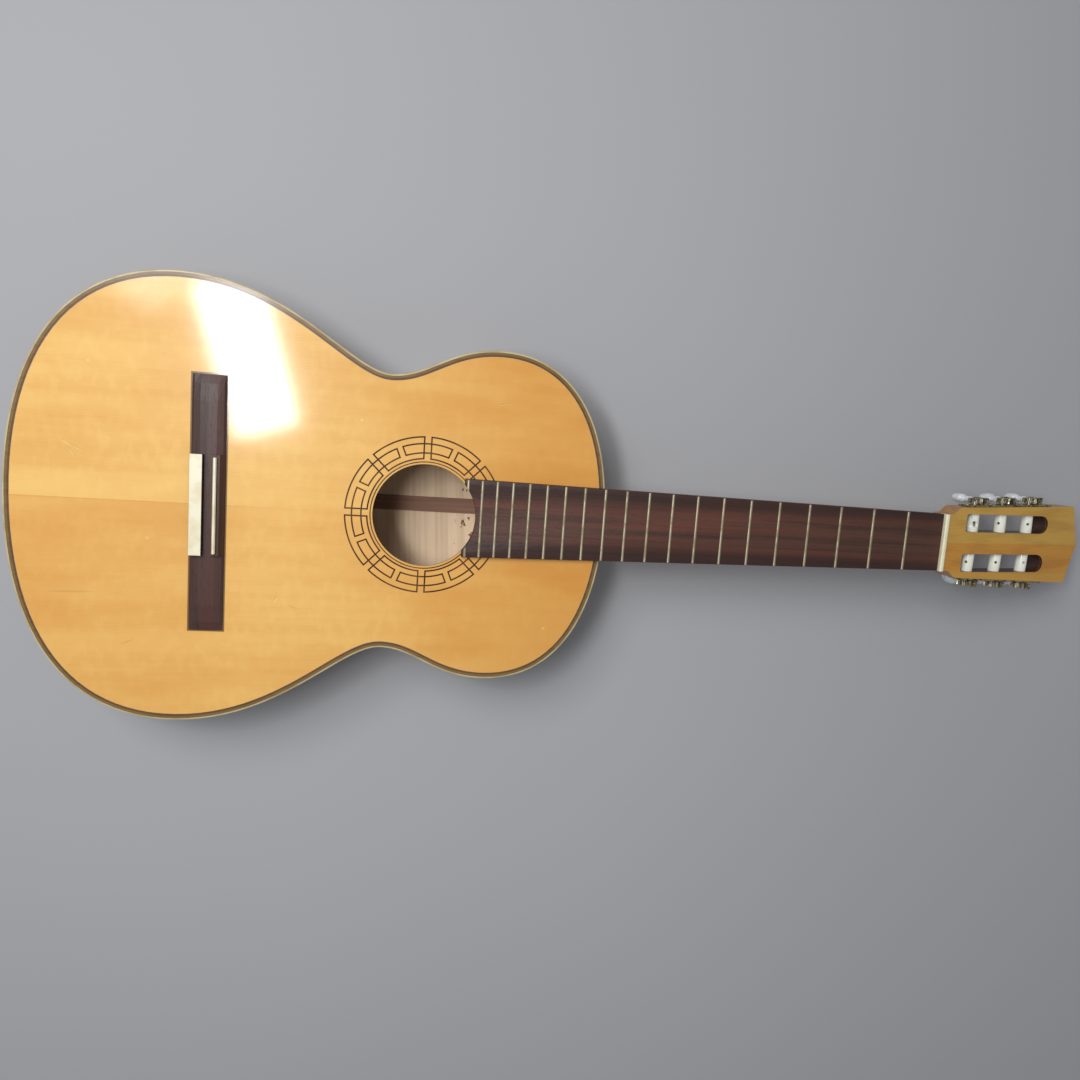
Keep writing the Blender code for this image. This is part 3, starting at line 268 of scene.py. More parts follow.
def stretched_noise(tree, place, scale, detail):
    """Noise whose cells are as long along each axis as 1 / scale."""
    inputs = {"Vector": mapped(tree, place, scale=scale), "Scale": 1.0, "Detail": detail}
    return add_node(tree, "TexNoise", inputs).outputs["Fac"]


def booked(tree, axes):
    """Places mirrored at the centre line, as two leaves opened like a book."""
    mirrored = math_node(tree, "ABSOLUTE", axes[1])
    return add_node(tree, "CombineXYZ", {0: axes[0], 1: mirrored, 2: axes[2]}).outputs[0]


def normal_height(tree):
    """How far a face looks up: 1 for the top, 0 for upright faces, -1 for the underside."""
    return axes_of(tree, add_node(tree, "NewGeometry", {}).outputs["Normal"])[2]


def upright_faces(tree):
    return band(tree, math_node(tree, "ABSOLUTE", normal_height(tree)), *UPRIGHT_FACE)


def new_group(name, inputs, outputs):
    """A node group with named sockets, and its input and output nodes."""
    tree = bpy.data.node_groups.new(name, "ShaderNodeTree")
    for in_out, sockets in (("INPUT", inputs), ("OUTPUT", outputs)):
        for label, kind in sockets:
            tree.interface.new_socket(name=label, in_out=in_out, socket_type="NodeSocket" + kind)
    return tree, tree.nodes.new("NodeGroupInput").outputs, tree.nodes.new("NodeGroupOutput").inputs


WOOD_INPUTS = (("Place", "Vector"), ("Light", "Color"), ("Dark", "Color"), ("Ring width", "Float"),
               ("Rings", "Float"), ("Fibres", "Float"), ("Streaks", "Float"), ("Streak width", "Float"))
WEAR_INPUTS = (("Place", "Vector"), ("Scratches", "Float"), ("Dents", "Float"))


def make_wood_group():
    """Wood that grows along X: year rings as lines, fibres, and slow streaks from light to dark."""
    tree, given, result = new_group("wood_figure", WOOD_INPUTS, (("Color", "Color"), ("Grain", "Float")))
    axes = axes_of(tree, given["Place"])
    wander = stretched_noise(tree, given["Place"], (4, 26, 26), 2)
    across = times_plus(tree, axes[2], 0.35, times_plus(tree, wander, 0.010, axes[1]))
    phase = math_node(tree, "DIVIDE", across, given["Ring width"])
    wave = math_node(tree, "SINE", times(tree, phase, 2 * math.pi))
    ring = math_node(tree, "POWER", times_plus(tree, wave, 0.5, 0.5), 2.5)
    fibre = stretched_noise(tree, given["Place"], (45, 2600, 2600), 2)
    width = math_node(tree, "DIVIDE", 1.0, given["Streak width"])
    long_place = vector_node(tree, "MULTIPLY", given["Place"], (0.045, 1, 1))[0]
    streak = add_node(tree, "TexNoise", {"Vector": long_place, "Scale": width, "Detail": 3.0}).outputs["Fac"]
    streak = math_node(tree, "SUBTRACT", band(tree, streak, 0.34, 0.68), 0.25)
    total = times(tree, ring, given["Rings"])
    total = times_plus(tree, math_node(tree, "SUBTRACT", fibre, 0.5), given["Fibres"], total)
    total = times_plus(tree, streak, given["Streaks"], total)
    share = add_node(tree, "Clamp", {0: total}).outputs[0]
    tree.links.new(blend_colours(tree, share, given["Light"], given["Dark"]), result["Color"])
    tree.links.new(times_plus(tree, fibre, 0.6, times(tree, ring, 0.4)), result["Grain"])
    return tree


def make_wear_group():
    """Marks of use: short scratches along the grain and small round dents, each from 0 to 1."""
    tree, given, result = new_group("use_marks", WEAR_INPUTS, WEAR_INPUTS[1:])
    lines = stretched_noise(tree, given["Place"], (34, 1500, 1500), 1)
    where = stretched_noise(tree, given["Place"], (9, 14, 14), 1)
    lines = times(tree, band(tree, lines, 0.70, 0.76), band(tree, where, 0.50, 0.62))
    cells = add_node(tree, "TexVoronoi", {"Vector": given["Place"], "Scale": 42.0}, feature="F1").outputs
    dent = math_node(tree, "SUBTRACT", 1.0, band(tree, cells["Distance"], 0.03, 0.09))
    rare = band(tree, add_node(tree, "SeparateColor", {0: cells["Color"]}).outputs[0], 0.86, 0.88)
    tree.links.new(times(tree, lines, given["Scratches"]), result["Scratches"])
    tree.links.new(times(tree, times(tree, dent, rare), given["Dents"]), result["Dents"])
    return tree


wood_group = make_wood_group()
wear_group = make_wear_group()


def use_group(tree, group, sockets, values):
    """Places a group in a material and gives its inputs, in order, these values."""
    made = tree.nodes.new("ShaderNodeGroup")
    made.node_tree = group
    return feed(tree, made, {label: value for (label, kind), value in zip(sockets, values)}).outputs


def wood_at(tree, place, light, dark, figure):
    return use_group(tree, wood_group, WOOD_INPUTS, (place, light, dark, *figure))


def wear_at(tree, place, scratches, dents):
    return use_group(tree, wear_group, WEAR_INPUTS, (place, scratches, dents))


def new_material(name, roughness, metallic=0.0, coat=0.0, coat_roughness=0.1, specular=0.5):
    """A material, its tree, its shader and the object's coordinates."""
    material = bpy.data.materials.new(name)
    material.use_nodes = True
    tree = material.node_tree
    shader = tree.nodes["Principled BSDF"]
    shader.inputs["Roughness"].default_value = roughness
    shader.inputs["Metallic"].default_value = metallic
    shader.inputs["Coat Weight"].default_value = coat
    shader.inputs["Coat Roughness"].default_value = coat_roughness
    shader.inputs["Specular IOR Level"].default_value = specular
    return material, tree, shader, add_node(tree, "TexCoord", {}).outputs["Object"]


def finish_surface(tree, shader, colour, height, depth, roughness=None):
    """Links a surface's colour, its fine relief and, where it varies, its roughness."""
    tree.links.new(colour, shader.inputs["Base Color"])
    bump = add_node(tree, "Bump", {"Height": height, "Distance": depth, "Strength": 1.0})
    tree.links.new(bump.outputs[0], shader.inputs["Normal"])
    if roughness is not None:
        tree.links.new(roughness, shader.inputs["Roughness"])


def clad(piece, material):
    """Gives a new piece, or a node of the part, its material."""
    if piece.material_slots:
        piece.material_slots[0].material = material
    else:
        piece.data.materials.append(material)


def wood_material(name, light, dark, figure, roughness, coat=0.0, coat_roughness=0.12, upright=False,
                  marks=0.3):
    """A plain varnished or raw wood, its grain along X, or level along an upright bent piece."""
    material, tree, shader, place = new_material(name, roughness, coat=coat, coat_roughness=coat_roughness,
                                                 specular=0.25)
    if upright:
        place = mapped(tree, place, (-math.pi / 2, 0, 0), (1, 0.05, 1))
    wood = wood_at(tree, place, light, dark, figure)
    worn = wear_at(tree, place, marks, marks)
    colour = blend_colours(tree, worn["Dents"], wood["Color"], dark)
    colour = blend_colours(tree, times(tree, worn["Scratches"], 0.5), colour, light)
    height = math_node(tree, "SUBTRACT", wood["Grain"], times(tree, worn["Dents"], 3.0))
    rough = times_plus(tree, worn["Scratches"], 0.3, roughness)
    finish_surface(tree, shader, colour, height, GRAIN_DEPTH, rough)
    return material


def mark_at(tree, place, x, y, turn, length, width):
    """A soft oval mark on the board, 1 in its middle. Length and width are in millimetres."""
    shifted = vector_node(tree, "SUBTRACT", place, tuple(spot(x, y, 0)))[0]
    turned = mapped(tree, shifted, (0, 0, -turn))
    local = vector_node(tree, "MULTIPLY", turned, (2000 / length, 2000 / width, 50))[0]
    reach = vector_node(tree, "LENGTH", local)["Value"]
    return math_node(tree, "SUBTRACT", 1.0, band(tree, reach, 0.35, 1.0))


def marks_at(tree, place, marks):
    """All of some marks, the strongest one at each place."""
    total = 0.0
    for mark in marks:
        total = math_node(tree, "MAXIMUM", total, mark_at(tree, place, *mark))
    return total


def bridge_glue_and_shade(tree, axes):
    """The dark line round the foot of the bridge: glue and dirt, with painted shade where the bridge meets
    the board.
    """
    low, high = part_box("bridge")
    reach = []
    for axis, start, end in ((0, low.x, high.x), (1, low.y, high.y)):
        aside = math_node(tree, "ABSOLUTE", math_node(tree, "SUBTRACT", axes[axis], (start + end) / 2))
        reach.append(math_node(tree, "SUBTRACT", aside, (end - start) / 2))
    return times(tree, band(tree, math_node(tree, "MAXIMUM", *reach), *BRIDGE_GLUE_AND_SHADE_LINE), 0.85)


def make_spruce():
    material, tree, shader, place = new_material("amber_spruce", SPRUCE_ROUGHNESS, coat=0.8,
                                                 coat_roughness=0.10, specular=0.2)
    axes = axes_of(tree, place)
    tailwards = band(tree, axes[0], *TAILWARDS)
    wood = wood_at(tree, booked(tree, axes), SPRUCE_LIGHT, SPRUCE_DARK, SPRUCE_FIGURE)
    silk = times(tree, band(tree, stretched_noise(tree, place, (130, 75, 75), 5), 0.44, 0.66), 0.34)
    colour = blend_colours(tree, silk, wood["Color"], SPRUCE_PALE)
    treble = times(tree, band(tree, axes[1], 0.0004, -0.0004), times_plus(tree, tailwards, 0.20, 0.06))
    age = stretched_noise(tree, place, (9, 24, 24), 4)
    red = times_plus(tree, band(tree, age, 0.40, 0.68), 0.26, treble)
    red = times_plus(tree, band(tree, axes[0], *NECKWARDS), 0.62, red)
    colour = blend_colours(tree, red, colour, SPRUCE_RED)
    beside_seam = times(tree, band(tree, axes[1], 0.0, 0.0004), band(tree, axes[1], 0.027, 0.020))
    beside_seam = times(tree, beside_seam, times_plus(tree, tailwards, 0.32, 0.06))
    colour = blend_colours(tree, beside_seam, colour, SPRUCE_PALE)
    seam = band(tree, math_node(tree, "ABSOLUTE", axes[1]), 0.0005, 0.0001)
    colour = blend_colours(tree, times(tree, times(tree, seam, tailwards), 0.45), colour, SPRUCE_RED)
    worn = wear_at(tree, place, 0.6, 0.6)
    dented = math_node(tree, "MAXIMUM", worn["Dents"], marks_at(tree, place, PALE_MARKS))
    colour = blend_colours(tree, times(tree, dented, 0.60), colour, DENT_PALE)
    colour = blend_colours(tree, times(tree, marks_at(tree, place, BROWN_MARKS), 0.32), colour, DENT_BROWN)
    colour = blend_colours(tree, times(tree, worn["Scratches"], 0.5), colour, SCRATCH_PALE)
    colour = blend_colours(tree, upright_faces(tree), colour, CUT_AND_SHADE_BROWN)
    # A dark line of glue and painted shade round the bridge's foot.
    colour = blend_colours(tree, bridge_glue_and_shade(tree, axes), colour, CUT_AND_SHADE_BROWN)
    swell = stretched_noise(tree, place, (14, 22, 22), 1)
    height = times_plus(tree, swell, 6.0, wood["Grain"])
    height = math_node(tree, "SUBTRACT", height, times(tree, dented, 9.0))
    rough = times_plus(tree, worn["Scratches"], 0.3, SPRUCE_ROUGHNESS)
    finish_surface(tree, shader, colour, height, 0.000035, rough)
    return material


def make_top_plate():
    curve = body_curve("top_plate", -TOP_THICKNESS / 2)
    curve.data.fill_mode = "BOTH"
    curve.data.extrude = TOP_THICKNESS / 2
    curve.data.offset = -(BINDING_WIDTH + PURFLING_WIDTH + GLUE_GAP)
    bpy.ops.object.convert(target="MESH")
    plate = bpy.context.object
    pick(plate)
    bpy.ops.object.transform_apply(location=True)
    tidy_shell(plate)
    cut_with(plate, hole_saw(HOLE_RADIUS))
    return plate


top_plate = make_top_plate()
clad(top_plate, make_spruce())
settle(top_plate, "guitar", "spruce_top", "soundboard")


# The rosette is drawn with thin dark lines let into the board: bricks round the hole, and smaller links
# that cross from one brick to the next. Each line is a strip of stained veneer glued into a scored groove.

LINE_WIDTH = 0.00130
LINE_DEPTH = 0.0006
LINE_PROUD = 0.00006
LINK_PROUD = LINE_PROUD * 0.7
# Inner and outer radius, half the gap between two segments, and the ring's turn.
BRICKS = (0.0478, 0.0675, 0.0024, 0.0)
LINKS = (0.0527, 0.0618, 0.0020, math.radians(22.5))
HOLE_LINE = (0.0455, 0.0462)
LINE_BROWN = (0.050, 0.017, 0.006, 1)
LINE_FADED = (0.15, 0.062, 0.020, 1)


def ring_band(name, inner, outer, top):
    """A flat ring round the soundhole, made by growing one circle out to the other."""
    bpy.ops.mesh.primitive_circle_add(vertices=192, radius=inner, location=spot(HOLE_X, 0, top))
    ring = named(name)
    open_mesh(ring)
    bpy.ops.mesh.extrude_edges_move()
    scale = outer / inner
    bpy.ops.transform.resize(value=(scale, scale, 1), center_override=ring.location)
    close_mesh()
    bpy.ops.object.transform_apply(location=True)
    return ring


def thicken_down(piece, depth):
    pick(piece)
    solidify = piece.modifiers.new("depth", "SOLIDIFY")
    solidify.thickness = depth
    solidify.offset = -1
    bpy.ops.object.modifier_apply(modifier="depth")


def outlined_segments(name, inner, outer, gap_half, turn, top):
    """The outlines of eight ring segments with parallel gaps between them."""
    ring = ring_band(name, inner, outer, top)
    centre = spot(HOLE_X, 0, top)
    angles = [turn + quarter * math.pi / 4 for quarter in range(4)]
    asides = [Vector((-math.sin(angle), math.cos(angle), 0)) for angle in angles]
    bpy.ops.object.mode_set(mode="EDIT")
    for aside in asides:
        for side in (-1, 1):
            bpy.ops.mesh.select_all(action="SELECT")
            bpy.ops.mesh.bisect(plane_co=centre + aside * side * gap_half, plane_no=aside)
    bpy.ops.mesh.select_all(action="DESELECT")
    close_mesh()
    for face in ring.data.polygons:
        face.select = any(abs((face.center - centre).dot(aside)) < gap_half for aside in asides)
    bpy.ops.object.mode_set(mode="EDIT")
    bpy.ops.mesh.delete(type="FACE")
    bpy.ops.mesh.select_all(action="SELECT")
    bpy.ops.mesh.normals_make_consistent(inside=False)
    bpy.ops.mesh.inset(thickness=LINE_WIDTH, use_boundary=True)
    bpy.ops.mesh.delete(type="FACE")
    close_mesh()
    thicken_down(ring, LINE_DEPTH)
    return ring


def make_stained_veneer():
    material, tree, shader, place = new_material("stained_veneer", 0.5, coat=0.15, coat_roughness=0.15,
                                                 specular=0.2)
    fade = band(tree, stretched_noise(tree, place, (55, 55, 55), 3), 0.40, 0.72)
    colour = blend_colours(tree, fade, LINE_BROWN, LINE_FADED)
    finish_surface(tree, shader, colour, stretched_noise(tree, place, (900, 900, 900), 2), 0.00003)
    return material


brick_lines = outlined_segments("rosette_bricks", *BRICKS, LINE_PROUD)
link_lines = outlined_segments("rosette_links", *LINKS, LINK_PROUD)
hole_line = ring_band("rosette_hole_line", *HOLE_LINE, LINE_PROUD)
thicken_down(hole_line, LINE_DEPTH)
rosette_lines = joined("rosette_lines", (brick_lines, link_lines, hole_line))
tidy_shell(rosette_lines)
clad(rosette_lines, make_stained_veneer())
settle(rosette_lines, "guitar", "rosette_marquetry", "rosette")


# The edge is a cream binding let into the corner, and inside it a purfling of two woods, olive brown
# outside and red brown inside, with a thin pale line at its inner edge. They are bent round and glued.

CREAM = (0.56, 0.455, 0.265, 1)
CREAM_AGED = (0.36, 0.265, 0.13, 1)
PURFLING_FIGURE = (0.0009, 0.5, 0.6, 0.5, 0.004)
PALE_LINE_FIGURE = (0.0009, 0.3, 0.4, 0.4, 0.006)
# Name, start and end inside the binding, material's name, light and dark tone, figure and coat.
PURFLING_STRIPS = (
    ("purfling_outer", 0.0, 0.0020, "olive_purfling", (0.22, 0.140, 0.045, 1), (0.130, 0.080, 0.026, 1),
     PURFLING_FIGURE, 0.4),
    ("purfling_inner", 0.0020, 0.0037, "red_purfling", (0.16, 0.072, 0.028, 1), (0.090, 0.038, 0.016, 1),
     PURFLING_FIGURE, 0.4),
    ("purfling_light_line", 0.0037, 0.0040, "pale_purfling", (0.62, 0.46, 0.22, 1), (0.50, 0.34, 0.15, 1),
     PALE_LINE_FIGURE, 0.6),
)
PURFLING_DEPTH = 0.0016
BINDING_HEIGHT = 0.0060
# The rounded corner of a binding: where its arc starts, and its middle.
ROUND_START = 0.0009
ROUND_MIDDLE = 0.00026


def bent_strip(name, profile):
    """A strip bent round the body: its section as (distance in from the outline, height) points."""
    section = bpy.data.curves.new(name + "_section", "CURVE")
    spline = section.splines.new("POLY")
    spline.points.add(len(profile) - 1)
    for point, (inset, z) in zip(spline.points, profile):
        point.co = (inset, z, 0, 1)
    spline.use_cyclic_u = True
    shape = bpy.data.objects.new(name + "_section", section)
    bpy.context.scene.collection.objects.link(shape)
    strip = body_curve(name, 0)
    strip.data.bevel_mode = "OBJECT"
    strip.data.bevel_object = shape
    bpy.ops.object.convert(target="MESH")
    strip = bpy.context.object
    bpy.data.objects.remove(shape)
    pick(strip)
    bpy.ops.object.transform_apply(location=True)
    tidy_shell(strip)
    return strip


def speckled(name, base, other, roughness, cells, share, coat):
    """A plain finish that varies between two tones in soft patches, with a fine tooth."""
    material, tree, shader, place = new_material(name, roughness, coat=coat, coat_roughness=0.15)
    patches = stretched_noise(tree, place, (cells, cells, cells), 4)
    mask = times(tree, band(tree, patches, 0.38, 0.70), share)
    fine = stretched_noise(tree, place, (1400, 1400, 1400), 2)
    rough = times_plus(tree, patches, 0.25, roughness - 0.1)
    finish_surface(tree, shader, blend_colours(tree, mask, base, other), fine, 0.00003, rough)
    return material


cream_plastic = speckled("cream_binding", CREAM, CREAM_AGED, 0.40, 60, 0.7, 0.25)
top_edge = bent_strip("binding_top", ((0, -BINDING_HEIGHT), (0, -ROUND_START), (ROUND_MIDDLE, -ROUND_MIDDLE),
                                      (ROUND_START, 0), (BINDING_WIDTH - GLUE_GAP, 0),
                                      (BINDING_WIDTH - GLUE_GAP, -BINDING_HEIGHT)))
clad(top_edge, cream_plastic)
settle(top_edge, "guitar", "ivory_plastic", "top_binding")
for strip_name, start, end, wood_name, light, dark, figure, coat in PURFLING_STRIPS:
    near, far = BINDING_WIDTH + start, BINDING_WIDTH + end
    strip = bent_strip(strip_name, ((near, -PURFLING_DEPTH), (near, 0), (far, 0), (far, -PURFLING_DEPTH)))
    clad(strip, wood_material(wood_name, light, dark, figure, 0.4, coat=coat))
    settle(strip, "guitar", "purfling_brown", "top_purfling")


# The ribs are 2 mm rosewood, bent hot over an iron, with the back's cream binding at their lower edge.
# The back is arched crosswise, so the ribs' lower edge rises towards the widest places.

RIB_THICKNESS = 0.0020
BACK_RADIUS = 4.750
BACK_FLAT_HALF = 0.0391
GRAFT_HALF = 0.0050
GRAFT_GAP = 0.0001
BODY_DEPTH = TOP_Z - cad_low.z
BINDING_GAP = 0.00005
ROSEWOOD_LIGHT = (0.30, 0.135, 0.065, 1)
ROSEWOOD_DARK = (0.085, 0.035, 0.02, 1)
RIB_FIGURE = (0.007, 0.35, 0.5, 0.85, 0.010)


def follow_arch(piece):
    """Lifts a piece's lower half as the back's arch rises to the sides."""
    for vertex in piece.data.vertices:
        if vertex.co.z < TOP_Z / 2:
            rise = (vertex.co.y ** 2 - BACK_FLAT_HALF ** 2) / (2 * BACK_RADIUS)
            vertex.co.z += max(0.0, rise)


def plane_cut(piece, place, normal):
    """Cuts off what lies behind a plane and closes the cut."""
    open_mesh(piece)
    bpy.ops.mesh.bisect(plane_co=place, plane_no=normal, use_fill=True, clear_inner=True)
    close_mesh()


def halved(strip, name, side, gap):
    """One side of a closed strip, cut off square at a distance from the centre line."""
    half = strip.copy()
    half.data = strip.data.copy()
    half.name = half.data.name = name
    bpy.context.scene.collection.objects.link(half)
    plane_cut(half, (0, side * gap, 0), (0, side, 0))
    bpy.ops.object.shade_smooth_by_angle(angle=math.radians(32))
    return half


rib_rosewood = wood_material("rib_rosewood", ROSEWOOD_LIGHT, ROSEWOOD_DARK, RIB_FIGURE, 0.36, coat=0.7,
                             upright=True, marks=0.5)
rib_low = -BODY_DEPTH + BINDING_HEIGHT
rib_high = -BINDING_HEIGHT - BINDING_GAP
rib_strip = bent_strip("ribs", ((0, rib_low), (0, rib_high), (RIB_THICKNESS, rib_high),
                                (RIB_THICKNESS, rib_low)))
follow_arch(rib_strip)
for side, side_name in ((1, "bass"), (-1, "treble")):
    rib = halved(rib_strip, "bent_rib_" + side_name, side, GRAFT_HALF + GRAFT_GAP)
    clad(rib, rib_rosewood)
    settle(rib, "guitar", "body_rosewood", "rib_" + side_name)
bpy.data.objects.remove(rib_strip)

edge_high = rib_low - BINDING_GAP
back_edge = bent_strip("binding_back", ((0, -BODY_DEPTH + ROUND_START), (0, edge_high),
                                        (BINDING_WIDTH, edge_high), (BINDING_WIDTH, -BODY_DEPTH),
                                        (ROUND_START, -BODY_DEPTH),
                                        (ROUND_MIDDLE, -BODY_DEPTH + ROUND_MIDDLE)))
follow_arch(back_edge)
clad(back_edge, cream_plastic)
settle(back_edge, "guitar", "ivory_plastic", "back_binding")
clad(nodes["end_graft"], cream_plastic)


# The back is two halves of rosewood, varnished outside. Inside it is raw and pale, with its figure running
# crosswise, a brown strip over the middle joint and old glue stains near the neck.

BACK_FIGURE = (0.006, 0.35, 0.5, 0.85, 0.010)
RAW_LIGHT = (0.92, 0.70, 0.48, 1)
RAW_DARK = (0.60, 0.43, 0.27, 1)
RAW_FIGURE = (0.0052, 0.16, 0.30, 0.50, 0.009)
RAW_TURN = math.radians(86)
GLUE_BROWN = (0.22, 0.085, 0.02, 1)
GLUE_START = spot(HOLE_X + 0.030, 0, 0).x
GLUE_FADE = 0.006
STRIP_FIGURE = (0.0020, 0.3, 0.5, 0.5, 0.004)
INNER_SPRUCE_FIGURE = (0.0014, 0.35, 0.4, 0.4, 0.010)


def make_back_wood():
    material, tree, shader, place = new_material("back_wood", 0.5)
    axes = axes_of(tree, place)
    raw = wood_at(tree, mapped(tree, place, (0, 0, RAW_TURN)), RAW_LIGHT, RAW_DARK, RAW_FIGURE)
    varnished = wood_at(tree, booked(tree, axes), ROSEWOOD_LIGHT, ROSEWOOD_DARK, BACK_FIGURE)
    inside = band(tree, normal_height(tree), 0.2, 0.4)
    near_neck = band(tree, axes[0], GLUE_START, GLUE_START + GLUE_FADE)
    stain = times(tree, band(tree, stretched_noise(tree, place, (210, 150, 150), 3), 0.60, 0.66), near_neck)
    raw_colour = blend_colours(tree, stain, raw["Color"], GLUE_BROWN)
    colour = blend_colours(tree, inside, varnished["Color"], raw_colour)
    rough = times_plus(tree, inside, 0.40, 0.30)
    finish_surface(tree, shader, colour, times(tree, raw["Grain"], inside), 0.00008, rough)
    return material


clad(nodes["back"], make_back_wood())
clad(nodes["back_strip"], wood_material("centre_strip_wood", (0.33, 0.185, 0.125, 1), (0.20, 0.105, 0.075, 1),
                                        STRIP_FIGURE, 0.7))
raw_spruce = wood_material("raw_spruce", (0.60, 0.42, 0.24, 1), (0.42, 0.27, 0.13, 1), INNER_SPRUCE_FIGURE,
                           0.75, marks=0.1)
for node_name in nodes:
    if node_name.startswith(("top_lining", "back_lining", "harmonic_bar", "fan_strut", "back_bar")):
        clad(nodes[node_name], raw_spruce)


# The neck, its heel and the slotted head are one warm reddish wood with a satin finish. The head's face
# has a veneer of two bookmatched leaves, yellow on the bass side and orange brown on the treble side.

HEAD_TILT = math.radians(11.94)
NUT_BACK = 0.6555
FACE_RISE = 0.0060
HEAD = Matrix.Translation(spot(NUT_BACK, 0, FACE_RISE)) @ Matrix.Rotation(HEAD_TILT, 4, "Y")
CEDAR_FIGURE = (0.0050, 0.30, 0.55, 0.6, 0.012)
VENEER_YELLOW = (0.60, 0.345, 0.070, 1)
VENEER_OLIVE = (0.44, 0.240, 0.045, 1)
VENEER_ORANGE = (0.59, 0.275, 0.042, 1)
VENEER_DEEP = (0.42, 0.175, 0.026, 1)
VENEER_FIGURE = (0.0030, 0.18, 0.30, 0.75, 0.012)
SLOT_CENTRE = 0.0192
# The slots' half width, from where their painted shade has faded out to where it is full.
SLOT_REACH = (0.0095, 0.0091)
SLOT_SHADE = (0.022, 0.010, 0.013, 1)
SLOT_SHADE_START = spot(NUT_BACK + 0.016, 0, 0).x
CARVED_SMOOTHING = 38


def smooth_copy(node_name, name):
    """A copy of a node with merged corners, so that its round stretches shade smoothly."""
    copy = bpy.data.objects.new(name, nodes[node_name].data.copy())
    copy.data.name = name
    bpy.context.scene.collection.objects.link(copy)
    open_mesh(copy)
    bpy.ops.mesh.remove_doubles(threshold=0.00001)
    bpy.ops.mesh.customdata_custom_splitnormals_clear()
    bpy.ops.mesh.tris_convert_to_quads()
    close_mesh()
    bpy.ops.object.shade_smooth_by_angle(angle=math.radians(CARVED_SMOOTHING))
    return copy


def make_veneer():
    material, tree, shader, place = new_material("head_veneer", 0.40, coat=0.35, coat_roughness=0.2,
                                                 specular=0.25)
    axes = axes_of(tree, place)
    leaves = booked(tree, axes)
    bass = wood_at(tree, leaves, VENEER_YELLOW, VENEER_OLIVE, VENEER_FIGURE)
    treble = wood_at(tree, leaves, VENEER_ORANGE, VENEER_DEEP, VENEER_FIGURE)
    edgeward = band(tree, times(tree, axes[1], -1.0), 0.026, 0.031)
    colour = blend_colours(tree, times(tree, edgeward, 0.6), treble["Color"], VENEER_YELLOW)
    colour = blend_colours(tree, band(tree, axes[1], -0.0003, 0.0003), colour, bass["Color"])
    colour = blend_colours(tree, wear_at(tree, place, 0.6, 0.7)["Dents"], colour, VENEER_DEEP)
    finish_surface(tree, shader, colour, bass["Grain"], GRAIN_DEPTH)
    return material


def shade_slot_walls(material):
    """Darkens the walls of the string slots to a brown black, as painted shade in these deep cuts."""
    tree = material.node_tree
    base = tree.nodes["Principled BSDF"].inputs["Base Color"]
    axes = axes_of(tree, add_node(tree, "TexCoord", {}).outputs["Object"])
    aside = math_node(tree, "SUBTRACT", math_node(tree, "ABSOLUTE", axes[1]), SLOT_CENTRE)
    wall = times(tree, band(tree, math_node(tree, "ABSOLUTE", aside), *SLOT_REACH), upright_faces(tree))
    wall = times(tree, wall, band(tree, axes[0], SLOT_SHADE_START, SLOT_SHADE_START + 0.002))
    # Painted shade, brown black, on the slot walls.
    shaded_walls_colour = blend_colours(tree, times(tree, wall, 0.92), base.links[0].from_socket, SLOT_SHADE)
    tree.links.new(shaded_walls_colour, base)


red_cedar = wood_material("neck_cedar", (0.45, 0.225, 0.085, 1), (0.26, 0.108, 0.040, 1), CEDAR_FIGURE, 0.42,
                          coat=0.35, coat_roughness=0.25, marks=0.5)
veneer = make_veneer()
shade_slot_walls(red_cedar)
shade_slot_walls(veneer)
for node_name, piece_name, wood, slot in (("neck", "carved_neck", red_cedar, "cedar_neck"),
                                          ("head", "head_core", red_cedar, "cedar_neck"),
                                          ("headplate", "head_face", veneer, "head_veneer")):
    carved = smooth_copy(node_name, piece_name)
    clad(carved, wood)
    settle(carved, "guitar", slot, node_name)
clad(nodes["tail_block"], red_cedar)


# The fingerboard is rosewood, dark with red-brown streaks, cut hollow at the soundhole. Each of its frets
# is nickel wire with a crowned top, hammered into a sawn slot and filed to a slant at its ends.

SCALE_LENGTH = 0.650
FRET_COUNT = 20
BOARD_THICKNESS = 0.0065
BOARD_HALF_NUT = 0.02685
BOARD_HALF_JOIN = 0.03185
BOARD_END = HOLE_X + HOLE_RADIUS * 0.75
BOARD_END_RADIUS = HOLE_RADIUS - 0.0003
NUT_GAP = 0.0003
FRET_HALF = 0.0013
FRET_HEIGHT = 0.0010
FRET_INSET = 0.0002
FRET_SUNK = 0.0003
FRET_SLANT = 0.5
BOARD_BROWN = (0.098, 0.046, 0.033, 1)
BOARD_DARK = (0.038, 0.021, 0.019, 1)
BOARD_RED = (0.145, 0.050, 0.034, 1)
PORE_BLACK = (0.015, 0.009, 0.008, 1)
BOARD_FIGURE = (0.0035, 0.20, 0.55, 0.62, 0.006)


def board_half(x):
    """Half the fingerboard's width, from the nut to the body joint and on."""
    share = (SCALE_LENGTH - x) / (SCALE_LENGTH / 2)
    return BOARD_HALF_NUT + (BOARD_HALF_JOIN - BOARD_HALF_NUT) * share


def ease_edges(piece, width, segments):
    pick(piece)
    bevel = piece.modifiers.new("eased_edges", "BEVEL")
    bevel.width = width
    bevel.segments = segments
    bevel.limit_method = "ANGLE"
    bpy.ops.object.modifier_apply(modifier="eased_edges")


